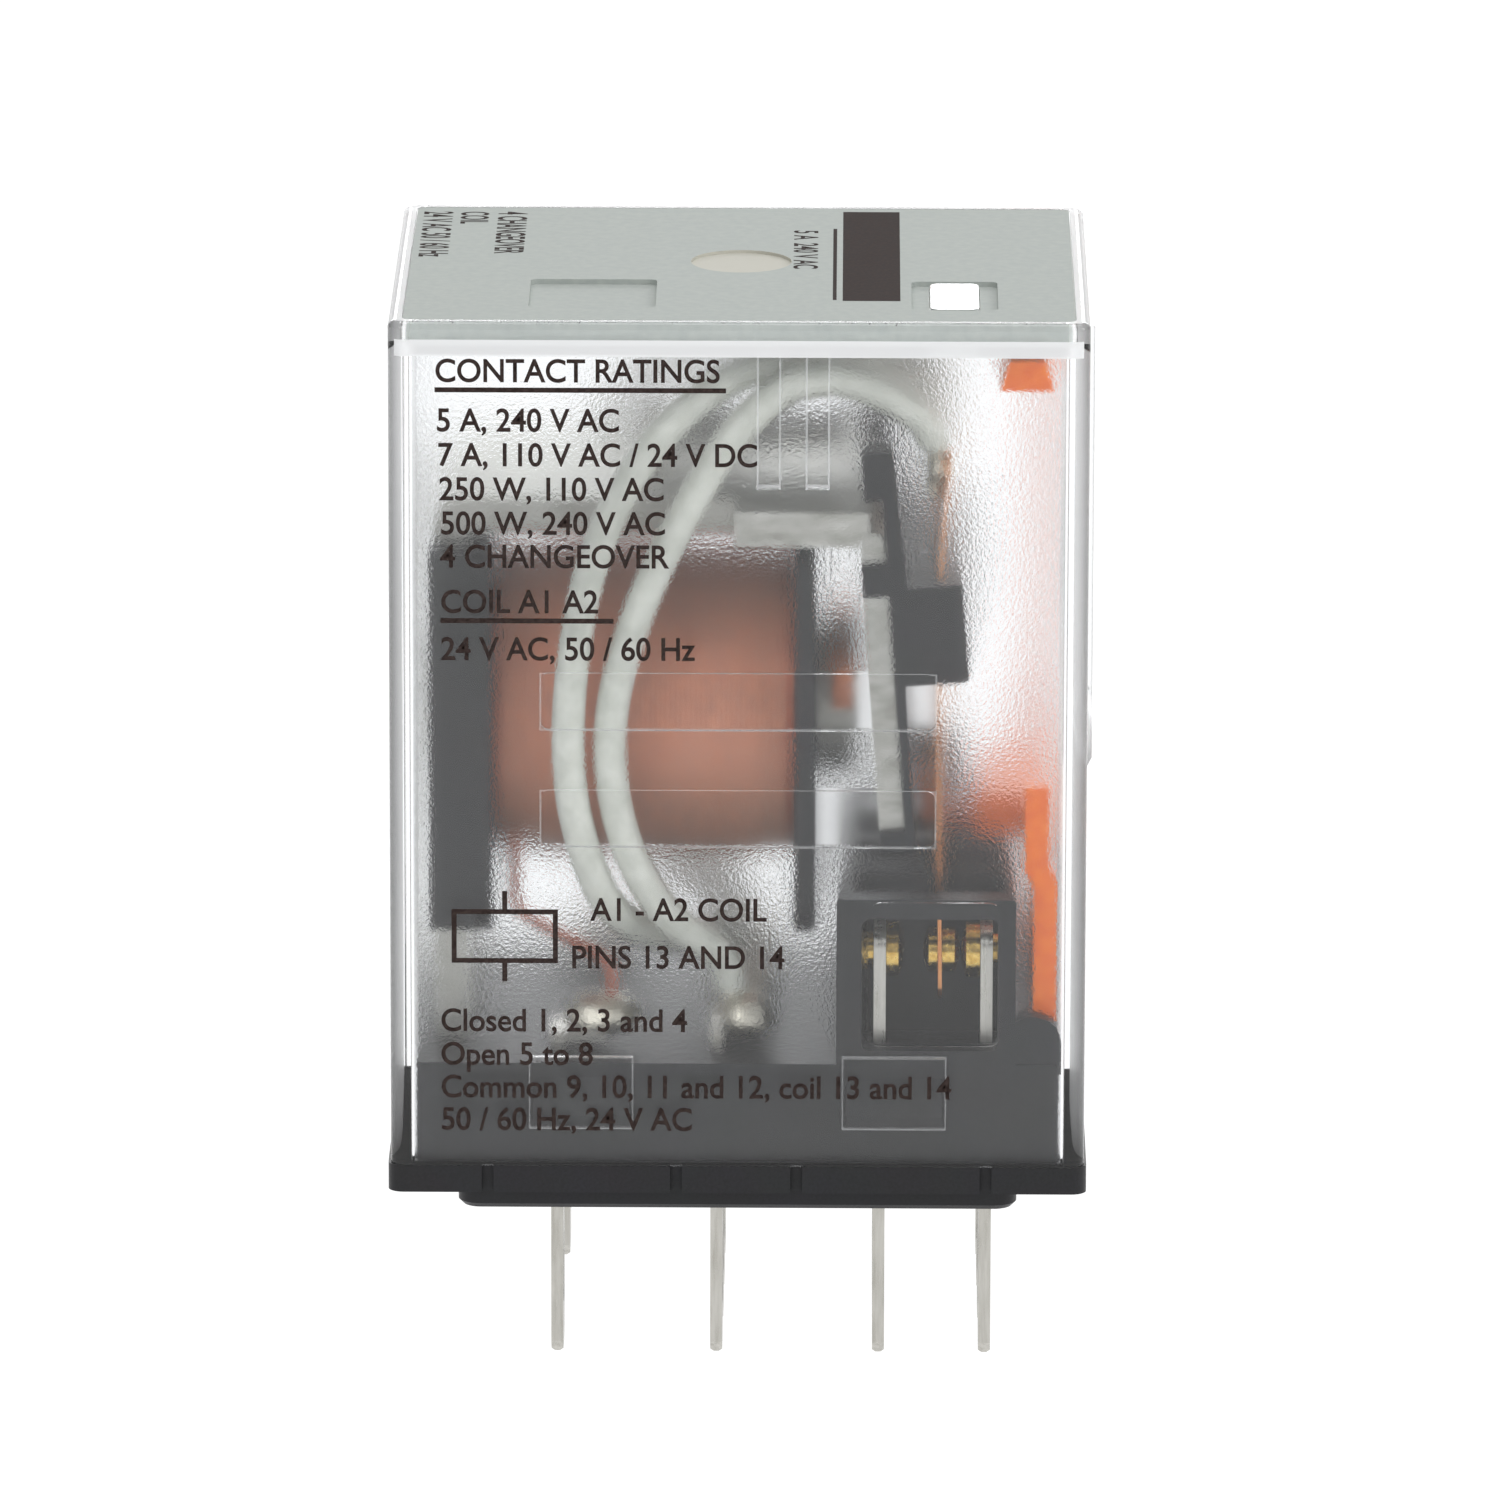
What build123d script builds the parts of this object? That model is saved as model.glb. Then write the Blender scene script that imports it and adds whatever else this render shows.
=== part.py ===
"""Plug-in relay with four changeover poles under a clear cover.

Origin: centre of the plinth's underside, the face that seats on a socket.
+X runs towards the contacts, +Y towards the back, +Z up out of the socket.
All lengths are in millimetres.
"""

import os
from math import cos, radians, sin, tan

from build123d import *

os.makedirs("parts", exist_ok=True)

# Whole relay
body_width = 27.5
body_depth = 21.2
cover_top = 36.3
plinth_height = 0.9
plinth_width = 22.2
plinth_depth = 19.6
flange_thickness = 1.1
flange_lip = 0.1
blade_reach = 6.65

# Clearances between pieces
slot_gap = 0.05
seat_gap = 0.02
cover_gap = 0.15
running_gap = 0.06

# Clear cover
wall = 0.8
top_wall = 1.4
cover_corner = 0.6
plate_pocket = 1.0
plate_margin = 0.55
window_width = 2.0
window_length = 4.6
window_centre = (8.45, -5.6)
pad_thickness = 0.2
pad_low = 17.9
pad_depth = 17.0
snap_width = 4.1
snap_spacing = 12.4
snap_low = 3.45
snap_height = 2.95
snap_depth = 0.4
label_depth = 0.18
label_width = 15.6
label_height = 2.33
label_centres = [16.26, 21.02]
viewing_depth = 0.08
viewing_width = 5.25
viewing_height = 5.9
viewing_centre = (7.78, 9.93)
rib_width = 0.94
rib_depth = 0.9
rib_low = 29.5
rib_centres = [1.17, 3.09]

# Poles and blades
column_pitch = 4.4
coil_row = -7.2
common_row = -0.85
open_row = 5.62
closed_row = 9.86
blade_thickness = 0.48
blade_width = 2.6
strip_width = 3.3
blade_shoulder = 0.4
blade_tip_chamfer = 0.55
solder_slot_length = 3.0
solder_slot_width = 1.2
solder_slot_centre = -3.35
common_top = 7.6
coil_tab_x = -5.5
coil_tab_top = 7.5
coil_tab_step = 6.3

# Base moulding
block_top = 6.05
tower_left = 3.9
tower_right = 11.0
tower_top = 12.8
chamber_left = 4.6
chamber_right = 10.6
tower_wall = 0.8
chamber_window_low = 6.6
chamber_window_high = 12.0
flange_notch_width = 0.47
flange_notch_depth = 0.35
flange_notches = [-9.9, -2.43, 2.34, 9.85]
yoke_pocket_floor = 3.0

# Contacts
contact_height = 9.95
strip_top = 11.2
open_gap = 0.76
contact_radius = 0.9
fixed_contact_radius = 1.1
shank_radius = 0.45
tail_head_radius = 0.7
tail_head_length = 0.42
moving_left = 7.34
moving_right = 8.81
dome_rise = 0.22

# Leaf springs
leaf_thickness = 0.15
leaf_width = 2.4
leaf_root = (7.87, 20.87)
leaf_tip = (8.02, 8.13)
leaf_bend = (7.96, 25.9)
leaf_end = (8.29, 30.4)
leaf_split_gap = 0.03

# Magnet
coil_height = 18.7
yoke_thickness = 1.4
yoke_left = -12.1
yoke_underside = 26.85
yoke_half_width = 6.0
ear_half_width = 8.5
ear_left = -0.16
hinge_x = 5.24
core_radius = 3.0
core_rivet_radius = 2.0
core_rivet_head = 2.6
pole_face = 4.72
bobbin_tube_radius = 3.8
flange_half_height = 8.0
flange_half_width = 7.8
bobbin_to_yoke = 0.04
bobbin_flange = 0.95
right_flange = (2.17, 3.08)
winding_radius = 6.4
tape_thickness = 0.08
ring_low = 0.4
ring_bar = 0.8
ring_outer = 3.9
ring_start = 3.7
ring_end = 4.5

# Armature and contact carrier, drawn on a plane that leans with the armature
armature_tilt = 4.1
armature_thickness = 1.0
armature_half_width = 8.2
armature_length = 11.6
notch_radius = 0.55
carrier_half_width = 8.6
retaining_arm_width = 1.2
spring_tail_half_width = 1.4

# Return spring
spring_axis_height = 29.75
spring_start = -2.55
spring_end = 4.1
spring_wire = 0.26
spring_mean_radius = 0.7
spring_coils = 26
hook_run = 0.45
hook_slot = 0.5
hook_peg_radius = 0.27
hook_peg_offset = hook_run + 0.28

# Indicator lever
lever_x = 12.1
lever_z = 6.8
lever_pin_radius = 0.5
boss_radius = 1.2
boss_outer = 9.6
boss_inner = 8.65
boss_cap = 0.35
lever_leg_inner = 7.5
lever_leg_outer = 8.55
bead = (7.6, 15.5)
bead_radius = 0.5
bead_slot_gap = 0.08
finger_half_width = 0.65
flag_clearance = 0.4
flag_height = 1.2
flag_front = 8.9
lever_beam_half_depth = 3.5

# Lead wires
wire_radius = 0.66
conductor_radius = 0.3
coil_lead_radius = 0.2
bend_share = 0.45

# Values worked out from the ones above
flange_top = plinth_height + flange_thickness
inner_width = body_width - 2 * wall
inner_depth = body_depth - 2 * wall
inner_top = cover_top - top_wall
block_width = inner_width - 2 * cover_gap
block_depth = inner_depth - 2 * cover_gap
pole_columns = [-1.5 * column_pitch, -0.5 * column_pitch, 0.5 * column_pitch, 1.5 * column_pitch]
yoke_top = yoke_underside + yoke_thickness
yoke_inner = yoke_left + yoke_thickness
left_flange = (yoke_inner + bobbin_to_yoke, yoke_inner + bobbin_to_yoke + bobbin_flange)
hinge = (hinge_x, 0, yoke_underside)
tilt_cos = cos(radians(armature_tilt))
tilt_sin = sin(radians(armature_tilt))
swing_plane = Plane(origin=hinge, x_dir=(tilt_cos, 0, tilt_sin), z_dir=(0, -1, 0))
half_leaf = leaf_thickness / 2
open_face = open_row + blade_thickness / 2
closed_face = closed_row - blade_thickness / 2
blade_rows = [
    (coil_row, [pole_columns[0], pole_columns[3]]),
    (common_row, pole_columns),
    (open_row, pole_columns),
    (closed_row, pole_columns),
]


# Base: plinth, flange, the block inside the cover, contact tower and lever bosses
with BuildPart() as base:
    with BuildSketch(Plane.XY):
        RectangleRounded(plinth_width, plinth_depth, 0.9)
    extrude(amount=plinth_height)
    chamfer(base.edges().group_by(Axis.Z)[0], length=0.2)
    with BuildSketch(Plane.XY.offset(plinth_height)):
        RectangleRounded(body_width + 2 * flange_lip, body_depth, cover_corner)
        for side in (-1, 1):
            with Locations(*[(x, side * body_depth / 2) for x in flange_notches]):
                Rectangle(flange_notch_width, 2 * flange_notch_depth, mode=Mode.SUBTRACT)
    extrude(amount=flange_thickness)
    with BuildSketch(Plane.XY.offset(flange_top)):
        RectangleRounded(block_width, block_depth, 0.3)
    extrude(amount=block_top - flange_top)

    # The tower stands round the contacts, with one open-topped chamber to each pole
    with BuildSketch(Plane.XY.offset(block_top)):
        with Locations(((tower_left + tower_right) / 2, 0)):
            Rectangle(tower_right - tower_left, block_depth)
        for column in pole_columns:
            with Locations(((chamber_left + chamber_right) / 2, column)):
                Rectangle(chamber_right - chamber_left, column_pitch - tower_wall, mode=Mode.SUBTRACT)
    extrude(amount=tower_top - block_top)
    fillet(base.edges().filter_by(Axis.Y).group_by(Axis.Z)[-1], radius=0.15)
    window_height = chamber_window_high - chamber_window_low
    chamber_front_wall = (block_depth - 4 * column_pitch + tower_wall) / 2
    for side in (-1, 1):
        with BuildSketch(Plane.XZ.offset(-side * block_depth / 2)):
            with Locations((chamber_left / 2 + chamber_right / 2, chamber_window_low + window_height / 2)):
                RectangleRounded(chamber_right - chamber_left - 0.6, window_height, 0.3)
        extrude(amount=side * (chamber_front_wall + 0.1), mode=Mode.SUBTRACT)

    # Bosses with a blind hole each for the indicator lever's pins
    for side in (-1, 1):
        with BuildSketch(Plane.XZ.offset(-side * boss_inner)):
            with Locations((lever_x - 0.4, lever_z)):
                Circle(boss_radius)
            with Locations((lever_x - 0.4, (lever_z + block_top) / 2 - 0.2)):
                Rectangle(2 * boss_radius, lever_z - block_top + 0.4)
        extrude(amount=side * (boss_inner - boss_outer))
        with BuildSketch(Plane.XZ.offset(-side * boss_inner)):
            with Locations((lever_x, lever_z)):
                Circle(lever_pin_radius + running_gap)
        extrude(amount=side * (boss_inner + boss_cap - boss_outer), mode=Mode.SUBTRACT)

    # Wedge-shaped snaps that spring into the cover's blind pockets
    for side in (-1, 1):
        for x in (-snap_spacing / 2, snap_spacing / 2):
            with BuildSketch(Plane.YZ.offset(x - snap_width / 2 + 0.15)):
                with BuildLine():
                    Polyline(
                        (side * (block_depth / 2 - 0.1), snap_low + 0.1),
                        (side * (inner_depth / 2 + snap_depth - 0.1), snap_low + 0.1),
                        (side * (inner_depth / 2 + snap_depth - 0.1), snap_low + 0.5),
                        (side * (block_depth / 2 - 0.1), block_top - 0.3),
                        close=True,
                    )
                make_face()
            extrude(amount=snap_width - 0.3)

    with BuildSketch(Plane.XY):
        for row_x, columns in blade_rows:
            with Locations(*[(row_x, column) for column in columns]):
                Rectangle(blade_thickness + 2 * slot_gap, blade_width + 2 * slot_gap)
    extrude(amount=block_top, mode=Mode.SUBTRACT)
    with BuildSketch(Plane.XY.offset(yoke_pocket_floor)):
        with Locations((yoke_left + yoke_thickness / 2, 0)):
            Rectangle(yoke_thickness + 2 * slot_gap, 2 * yoke_half_width + 2 * slot_gap)
    extrude(amount=block_top - yoke_pocket_floor, mode=Mode.SUBTRACT)
base.part.label = "base"
export_step(base.part, "parts/base.step")


# Cover: a clear box open downwards, with a pocket on top for the plate
with BuildPart() as cover:
    with BuildSketch(Plane.XY.offset(flange_top)):
        Rectangle(body_width, body_depth)
    extrude(amount=cover_top - flange_top)
    fillet(cover.edges().filter_by(Axis.Z), radius=cover_corner)
    fillet(cover.edges().group_by(Axis.Z)[-1], radius=0.3)
    with BuildSketch(Plane.XY.offset(flange_top)):
        RectangleRounded(inner_width, inner_depth, 0.35)
    extrude(amount=inner_top - flange_top, mode=Mode.SUBTRACT)
    with BuildSketch(Plane.XY.offset(cover_top - plate_pocket)):
        RectangleRounded(body_width - 2 * plate_margin, body_depth - 2 * plate_margin, 0.4)
    extrude(amount=plate_pocket, mode=Mode.SUBTRACT)

    # Clear lens that fills the plate's window, over the indicator
    with BuildSketch(Plane.XY.offset(cover_top - plate_pocket - 0.1)):
        with Locations(window_centre):
            RectangleRounded(window_width - 2 * slot_gap, window_length - 2 * slot_gap, 0.35)
    extrude(amount=plate_pocket + 0.1 - seat_gap)

    # Raised grip pad on the contact side
    with BuildSketch(Plane.XZ):
        with BuildLine():
            Polyline(
                (body_width / 2 - 0.3, pad_low),
                (body_width / 2, pad_low),
                (body_width / 2 + pad_thickness, pad_low + 0.4),
                (body_width / 2 + pad_thickness, cover_top - 0.5),
                (body_width / 2 - 0.3, cover_top - 0.5),
                close=True,
            )
        make_face()
    extrude(amount=pad_depth / 2, both=True)

    # Inner guide ribs under the top, front and back
    for side in (-1, 1):
        with BuildSketch(Plane.XY.offset(rib_low)):
            with Locations(*[(x, side * (inner_depth / 2 - rib_depth / 2)) for x in rib_centres]):
                Rectangle(rib_width, rib_depth)
        extrude(amount=inner_top - rib_low)

    # Blind pockets for the base's snaps, on the inside of the front and back walls
    for side in (-1, 1):
        with BuildSketch(Plane.XZ.offset(-side * inner_depth / 2)):
            with Locations((-snap_spacing / 2, snap_low + snap_height / 2)):
                Rectangle(snap_width, snap_height)
            with Locations((snap_spacing / 2, snap_low + snap_height / 2)):
                Rectangle(snap_width, snap_height)
        extrude(amount=-side * snap_depth, mode=Mode.SUBTRACT)

    # Shallow label frames on the front face
    with BuildSketch(Plane.XZ.offset(body_depth / 2)):
        with Locations(*[(0, height) for height in label_centres]):
            RectangleRounded(label_width, label_height, 0.4)
    extrude(amount=-label_depth, mode=Mode.SUBTRACT)

    # Shallow polished viewing window in front of the contacts
    with BuildSketch(Plane.XZ.offset(body_depth / 2)):
        with Locations(viewing_centre):
            RectangleRounded(viewing_width, viewing_height, 0.5)
    extrude(amount=-viewing_depth, mode=Mode.SUBTRACT)
cover.part.label = "cover"
export_step(cover.part, "parts/cover.step")


# Plate on top of the cover, cut through over the indicator
with BuildPart() as top_plate:
    with BuildSketch(Plane.XY.offset(cover_top - plate_pocket + seat_gap)):
        RectangleRounded(
            body_width - 2 * plate_margin - 2 * slot_gap,
            body_depth - 2 * plate_margin - 2 * slot_gap,
            0.35,
        )
    extrude(amount=plate_pocket - seat_gap)
    with BuildSketch(Plane.XY.offset(cover_top - 0.2)):
        with Locations(window_centre):
            RectangleRounded(window_width + 1.4, window_length + 0.4, 0.3)
        with Locations((-5.8, -5.35)):
            RectangleRounded(5.0, 4.9, 0.3)
    extrude(amount=0.2, mode=Mode.SUBTRACT)
    with BuildSketch(Plane.XY.offset(cover_top - plate_pocket)):
        with Locations(window_centre):
            RectangleRounded(window_width, window_length, 0.4)
    extrude(amount=plate_pocket, mode=Mode.SUBTRACT)
    with BuildSketch(Plane.XY.offset(cover_top - 0.12)):
        with Locations((0, 0.4)):
            Circle(2.0)
    extrude(amount=0.12, mode=Mode.SUBTRACT)
top_plate.part.label = "top_plate"
export_step(top_plate.part, "parts/top_plate.step")


# Yoke: bent steel, standing in the base, with the armature's notch in its ears
with BuildPart() as yoke:
    with BuildSketch(Plane.XY.offset(yoke_underside)):
        with Locations(((yoke_left + hinge_x) / 2, 0)):
            Rectangle(hinge_x - yoke_left, 2 * yoke_half_width)
        with Locations(((ear_left + hinge_x) / 2, 0)):
            Rectangle(hinge_x - ear_left, 2 * ear_half_width)
        fillet(vertices().group_by(Axis.X)[-1], radius=0.3)
    extrude(amount=yoke_thickness)
    with BuildSketch(Plane.YZ.offset(yoke_left)):
        with Locations((0, (yoke_top + yoke_pocket_floor + 0.2) / 2)):
            Rectangle(2 * yoke_half_width, yoke_top - yoke_pocket_floor - 0.2)
        with Locations((0, coil_height)):
            Circle(core_rivet_radius + seat_gap, mode=Mode.SUBTRACT)
    extrude(amount=yoke_thickness)
    outer_bend = yoke.edges().filter_by(Axis.Y).group_by(Axis.Z)[-1].group_by(Axis.X)[0]
    fillet(outer_bend, radius=1.1)
    with BuildSketch(Plane.XZ):
        with Locations((hinge_x, yoke_underside)):
            Circle(notch_radius)
    extrude(amount=ear_half_width + 1, both=True, mode=Mode.SUBTRACT)

    # Forked tab and cross peg that hold the return spring's fixed hook
    with BuildSketch(Plane.XZ):
        with Locations((spring_start - hook_peg_offset, (yoke_top + spring_axis_height) / 2 + 0.1)):
            Rectangle(0.9, spring_axis_height - yoke_top + 1.2)
    extrude(amount=1.3, both=True)
    with BuildSketch(Plane.XZ):
        with Locations((spring_start - hook_peg_offset, spring_axis_height + 0.1)):
            Rectangle(1.2, 2.2)
    extrude(amount=hook_slot / 2, both=True, mode=Mode.SUBTRACT)
    with BuildSketch(Plane.XZ):
        with Locations((spring_start - hook_peg_offset, spring_axis_height)):
            Circle(hook_peg_radius)
    extrude(amount=1.0, both=True)
yoke.part.label = "yoke"
export_step(yoke.part, "parts/yoke.step")


# Core: one turned pin, riveted into the yoke, slotted at the pole for the ring
core_axis = Axis((0, 0, coil_height), (1, 0, 0))
with BuildPart() as core:
    with BuildSketch(Plane(origin=(0, 0, coil_height), x_dir=(1, 0, 0), z_dir=(0, -1, 0))):
        with BuildLine():
            Polyline(
                (yoke_left - 0.4, 0),
                (yoke_left - 0.4, core_rivet_head - 0.2),
                (yoke_left - 0.2, core_rivet_head),
                (yoke_left - seat_gap, core_rivet_head),
                (yoke_left - seat_gap, core_rivet_radius),
                (yoke_inner + seat_gap, core_rivet_radius),
                (yoke_inner + seat_gap, core_radius),
                (pole_face - 0.15, core_radius),
                (pole_face, core_radius - 0.15),
                (pole_face, 0),
                close=True,
            )
        make_face()
    revolve(axis=core_axis)
    with BuildSketch(Plane.XZ):
        with Locations(((ring_start + pole_face) / 2, coil_height + ring_low + ring_bar / 2)):
            Rectangle(pole_face - ring_start + 2 * slot_gap, ring_bar + 2 * slot_gap)
    extrude(amount=core_radius + 1, both=True, mode=Mode.SUBTRACT)
core.part.label = "core"
export_step(core.part, "parts/core.step")


# Shading ring: a copper loop round the upper half of the pole
ring_plane = Plane(origin=(ring_start, 0, coil_height), x_dir=(0, 1, 0), z_dir=(1, 0, 0))
with BuildPart() as shading_ring:
    with BuildSketch(ring_plane):
        Circle(ring_outer)
        with Locations((0, ring_low - ring_outer)):
            Rectangle(3 * ring_outer, 2 * ring_outer, mode=Mode.SUBTRACT)
    extrude(amount=ring_end - ring_start)
    with BuildSketch(ring_plane):
        Circle(core_radius + slot_gap)
        with Locations((0, ring_low + ring_bar - ring_outer)):
            Rectangle(3 * ring_outer, 2 * ring_outer, mode=Mode.SUBTRACT)
    extrude(amount=ring_end - ring_start, mode=Mode.SUBTRACT)
shading_ring.part.label = "shading_ring"
export_step(shading_ring.part, "parts/shading_ring.step")


# Bobbin: a tube between two flanges
with BuildPart() as bobbin:
    with BuildSketch(Plane.YZ.offset(left_flange[0])):
        with Locations((0, coil_height)):
            RectangleRounded(2 * flange_half_width, 2 * flange_half_height, 1.6)
    extrude(amount=left_flange[1] - left_flange[0])
    with BuildSketch(Plane.YZ.offset(right_flange[0])):
        with Locations((0, coil_height)):
            RectangleRounded(2 * flange_half_width, 2 * flange_half_height, 1.6)
    extrude(amount=right_flange[1] - right_flange[0])
    fillet(bobbin.edges().filter_by(GeomType.LINE).filter_by(Axis.Y), radius=0.2)

    # Wings that flank the yoke's leg, front and back
    with BuildSketch(Plane.YZ.offset(yoke_left - 0.15)):
        for side in (-1, 1):
            with Locations((side * (flange_half_width + yoke_half_width + 0.15) / 2, coil_height)):
                Rectangle(flange_half_width - yoke_half_width - 0.15, 2 * flange_half_height - 0.6)
    extrude(amount=left_flange[0] - yoke_left + 0.3)
    with BuildSketch(Plane.YZ.offset(left_flange[0])):
        with Locations((0, coil_height)):
            Circle(bobbin_tube_radius)
    extrude(amount=right_flange[1] - left_flange[0])
    with BuildSketch(Plane.YZ.offset(left_flange[0])):
        with Locations((0, coil_height)):
            Circle(core_radius + slot_gap)
    extrude(amount=right_flange[1] - left_flange[0], mode=Mode.SUBTRACT)
bobbin.part.label = "bobbin"
export_step(bobbin.part, "parts/bobbin.step")


# Winding, and the clear tape round it
with BuildPart() as coil_winding:
    with BuildSketch(Plane.YZ.offset(left_flange[1] + seat_gap)):
        with Locations((0, coil_height)):
            Circle(winding_radius)
            Circle(bobbin_tube_radius + seat_gap, mode=Mode.SUBTRACT)
    extrude(amount=right_flange[0] - left_flange[1] - 2 * seat_gap)
coil_winding.part.label = "coil_winding"
export_step(coil_winding.part, "parts/coil_winding.step")

with BuildPart() as coil_tape:
    with BuildSketch(Plane.YZ.offset(left_flange[1] + 0.3)):
        with Locations((0, coil_height)):
            Circle(winding_radius + seat_gap + tape_thickness)
            Circle(winding_radius + seat_gap, mode=Mode.SUBTRACT)
    extrude(amount=right_flange[0] - left_flange[1] - 0.6)
coil_tape.part.label = "coil_tape"
export_step(coil_tape.part, "parts/coil_tape.step")


# Armature: flat steel with a rounded upper edge that rocks in the yoke's notch
with BuildPart() as armature:
    with BuildSketch(swing_plane):
        Circle(armature_thickness / 2)
        with Locations((0, -armature_length / 2)):
            Rectangle(armature_thickness, armature_length)
    extrude(amount=armature_half_width, both=True)
armature.part.label = "armature"
export_step(armature.part, "parts/armature.step")


def leaf_tail_outline(grow):
    """Give the side view of the leaves' clamped upper half, grown by a clearance."""
    half = half_leaf + grow
    return [
        (leaf_root[0] - half, leaf_root[1] + leaf_split_gap),
        (leaf_root[0] + half, leaf_root[1] + leaf_split_gap),
        (leaf_bend[0] + half, leaf_bend[1]),
        (leaf_end[0] + half, leaf_end[1]),
        (leaf_end[0] - half, leaf_end[1]),
        (leaf_bend[0] - half, leaf_bend[1]),
    ]


# Contact carrier: moulded on the armature, gripping the four leaves in its block
with BuildPart() as contact_carrier:
    with BuildSketch(swing_plane):
        with BuildLine():
            Polyline(
                (armature_thickness / 2 + seat_gap, -0.2),
                (1.3, -0.2),
                (1.3, -1.5),
                (0.95, -6.0),
                (0.9, -12.4),
                (-0.44, -12.4),
                (-0.44, -armature_length - seat_gap),
                (armature_thickness / 2 + seat_gap, -armature_length - seat_gap),
                close=True,
            )
        make_face()
    extrude(amount=carrier_half_width, both=True)

    # Retaining arms over the yoke's ears at front and back, and the spring's tail between
    with BuildSketch(swing_plane):
        with BuildLine():
            Polyline(
                (armature_thickness / 2 + seat_gap, -0.5),
                (1.25, -0.5),
                (1.15, 3.85),
                (-0.2, 3.85),
                (-0.2, 1.9),
                (armature_thickness / 2 + seat_gap, 1.9),
                close=True,
            )
        make_face()
    extrude(amount=carrier_half_width, both=True)
    arm_gap = carrier_half_width - retaining_arm_width - spring_tail_half_width
    for side in (-1, 1):
        with BuildSketch(swing_plane.offset(side * spring_tail_half_width)):
            with Locations((0.5, 2.3)):
                Rectangle(3.0, 5.0)
        extrude(amount=side * arm_gap, mode=Mode.SUBTRACT)
    with BuildSketch(swing_plane):
        with Locations((2.2, -3.7)):
            Rectangle(2.6, 4.0)
    extrude(amount=carrier_half_width, both=True)
    fillet(contact_carrier.edges().filter_by(Axis.Y).group_by(Axis.X)[-1], radius=0.3)

    # Cheeks that grip the armature's two edges just under its rocking edge
    for side in (-1, 1):
        with BuildSketch(swing_plane.offset(side * (armature_half_width + seat_gap))):
            with Locations((0.1, -1.35)):
                Rectangle(1.2, 1.3)
        extrude(amount=side * (carrier_half_width - armature_half_width - seat_gap))

    # Hanging prong: with the leg it makes the slot that drives the indicator's bead
    with BuildSketch(Plane.XZ):
        with BuildLine():
            Polyline(
                (6.7, bead[1] - 0.75),
                (bead[0] - bead_radius - bead_slot_gap, bead[1] - 0.75),
                (bead[0] - bead_radius - bead_slot_gap, bead[1] + 0.8),
                (bead[0] + bead_radius + bead_slot_gap, bead[1] + 0.8),
                (bead[0] + bead_radius + bead_slot_gap, bead[1] - 0.75),
                (bead[0] + bead_radius + bead_slot_gap + 0.5, bead[1] - 0.75),
                (bead[0] + bead_radius + bead_slot_gap + 0.5, bead[1] + 1.7),
                (6.7, bead[1] + 1.7),
                close=True,
            )
        make_face()
    extrude(amount=0.7, both=True)

    # Notch and peg for the return spring's moving hook
    with BuildSketch(Plane.XZ):
        with Locations((spring_end + hook_run, spring_axis_height)):
            Circle(spring_mean_radius + 0.35)
    extrude(amount=hook_slot / 2, both=True, mode=Mode.SUBTRACT)
    with BuildSketch(Plane.XZ):
        with Locations((spring_end + hook_peg_offset, spring_axis_height)):
            Circle(hook_peg_radius)
    extrude(amount=0.8, both=True)

    # Slots the leaves are moulded into
    for column in pole_columns:
        with BuildSketch(Plane.XZ.offset(-column)):
            with BuildLine():
                Polyline(*leaf_tail_outline(seat_gap), close=True)
            make_face()
        extrude(amount=leaf_width / 2 + seat_gap, both=True, mode=Mode.SUBTRACT)
contact_carrier.part.label = "contact_carrier"
export_step(contact_carrier.part, "parts/contact_carrier.step")


# Leaves, in two halves: the clamped upper half and the free lower half that bends
for number, column in enumerate(pole_columns, start=1):
    with BuildPart() as leaf_tail:
        with BuildSketch(Plane.XZ.offset(-column)):
            with BuildLine():
                Polyline(*leaf_tail_outline(0), close=True)
            make_face()
        extrude(amount=leaf_width / 2, both=True)
    leaf_tail.part.label = f"leaf_tail_{number}"
    export_step(leaf_tail.part, f"parts/leaf_tail_{number}.step")

    with BuildPart() as leaf_spring:
        with BuildSketch(Plane.XZ.offset(-column)):
            with BuildLine():
                Polyline(
                    (leaf_root[0] - half_leaf, leaf_root[1]),
                    (leaf_root[0] + half_leaf, leaf_root[1]),
                    (leaf_tip[0] + half_leaf, leaf_tip[1]),
                    (leaf_tip[0] - half_leaf, leaf_tip[1]),
                    close=True,
                )
            make_face()
        extrude(amount=leaf_width / 2, both=True)
        tip_corners = leaf_spring.edges().filter_by(Axis.X, tolerance=2).group_by(Axis.Z)[0]
        fillet(tip_corners, radius=0.7)
        with BuildSketch(Plane.YZ.offset(leaf_root[0] - 1)):
            with Locations((column, contact_height)):
                Circle(shank_radius + seat_gap)
        extrude(amount=2, mode=Mode.SUBTRACT)
    leaf_spring.part.label = f"leaf_spring_{number}"
    export_step(leaf_spring.part, f"parts/leaf_spring_{number}.step")


def fixed_rivet_outline(apex, rim, seat, far_seat, tail_end):
    """Give half of a fixed contact rivet behind its dome: head, shank and flat tail."""
    return [
        (rim, fixed_contact_radius),
        (seat, fixed_contact_radius),
        (seat, shank_radius),
        (far_seat, shank_radius),
        (far_seat, tail_head_radius),
        (tail_end, tail_head_radius),
        (tail_end, 0),
        (apex, 0),
    ]


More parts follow.
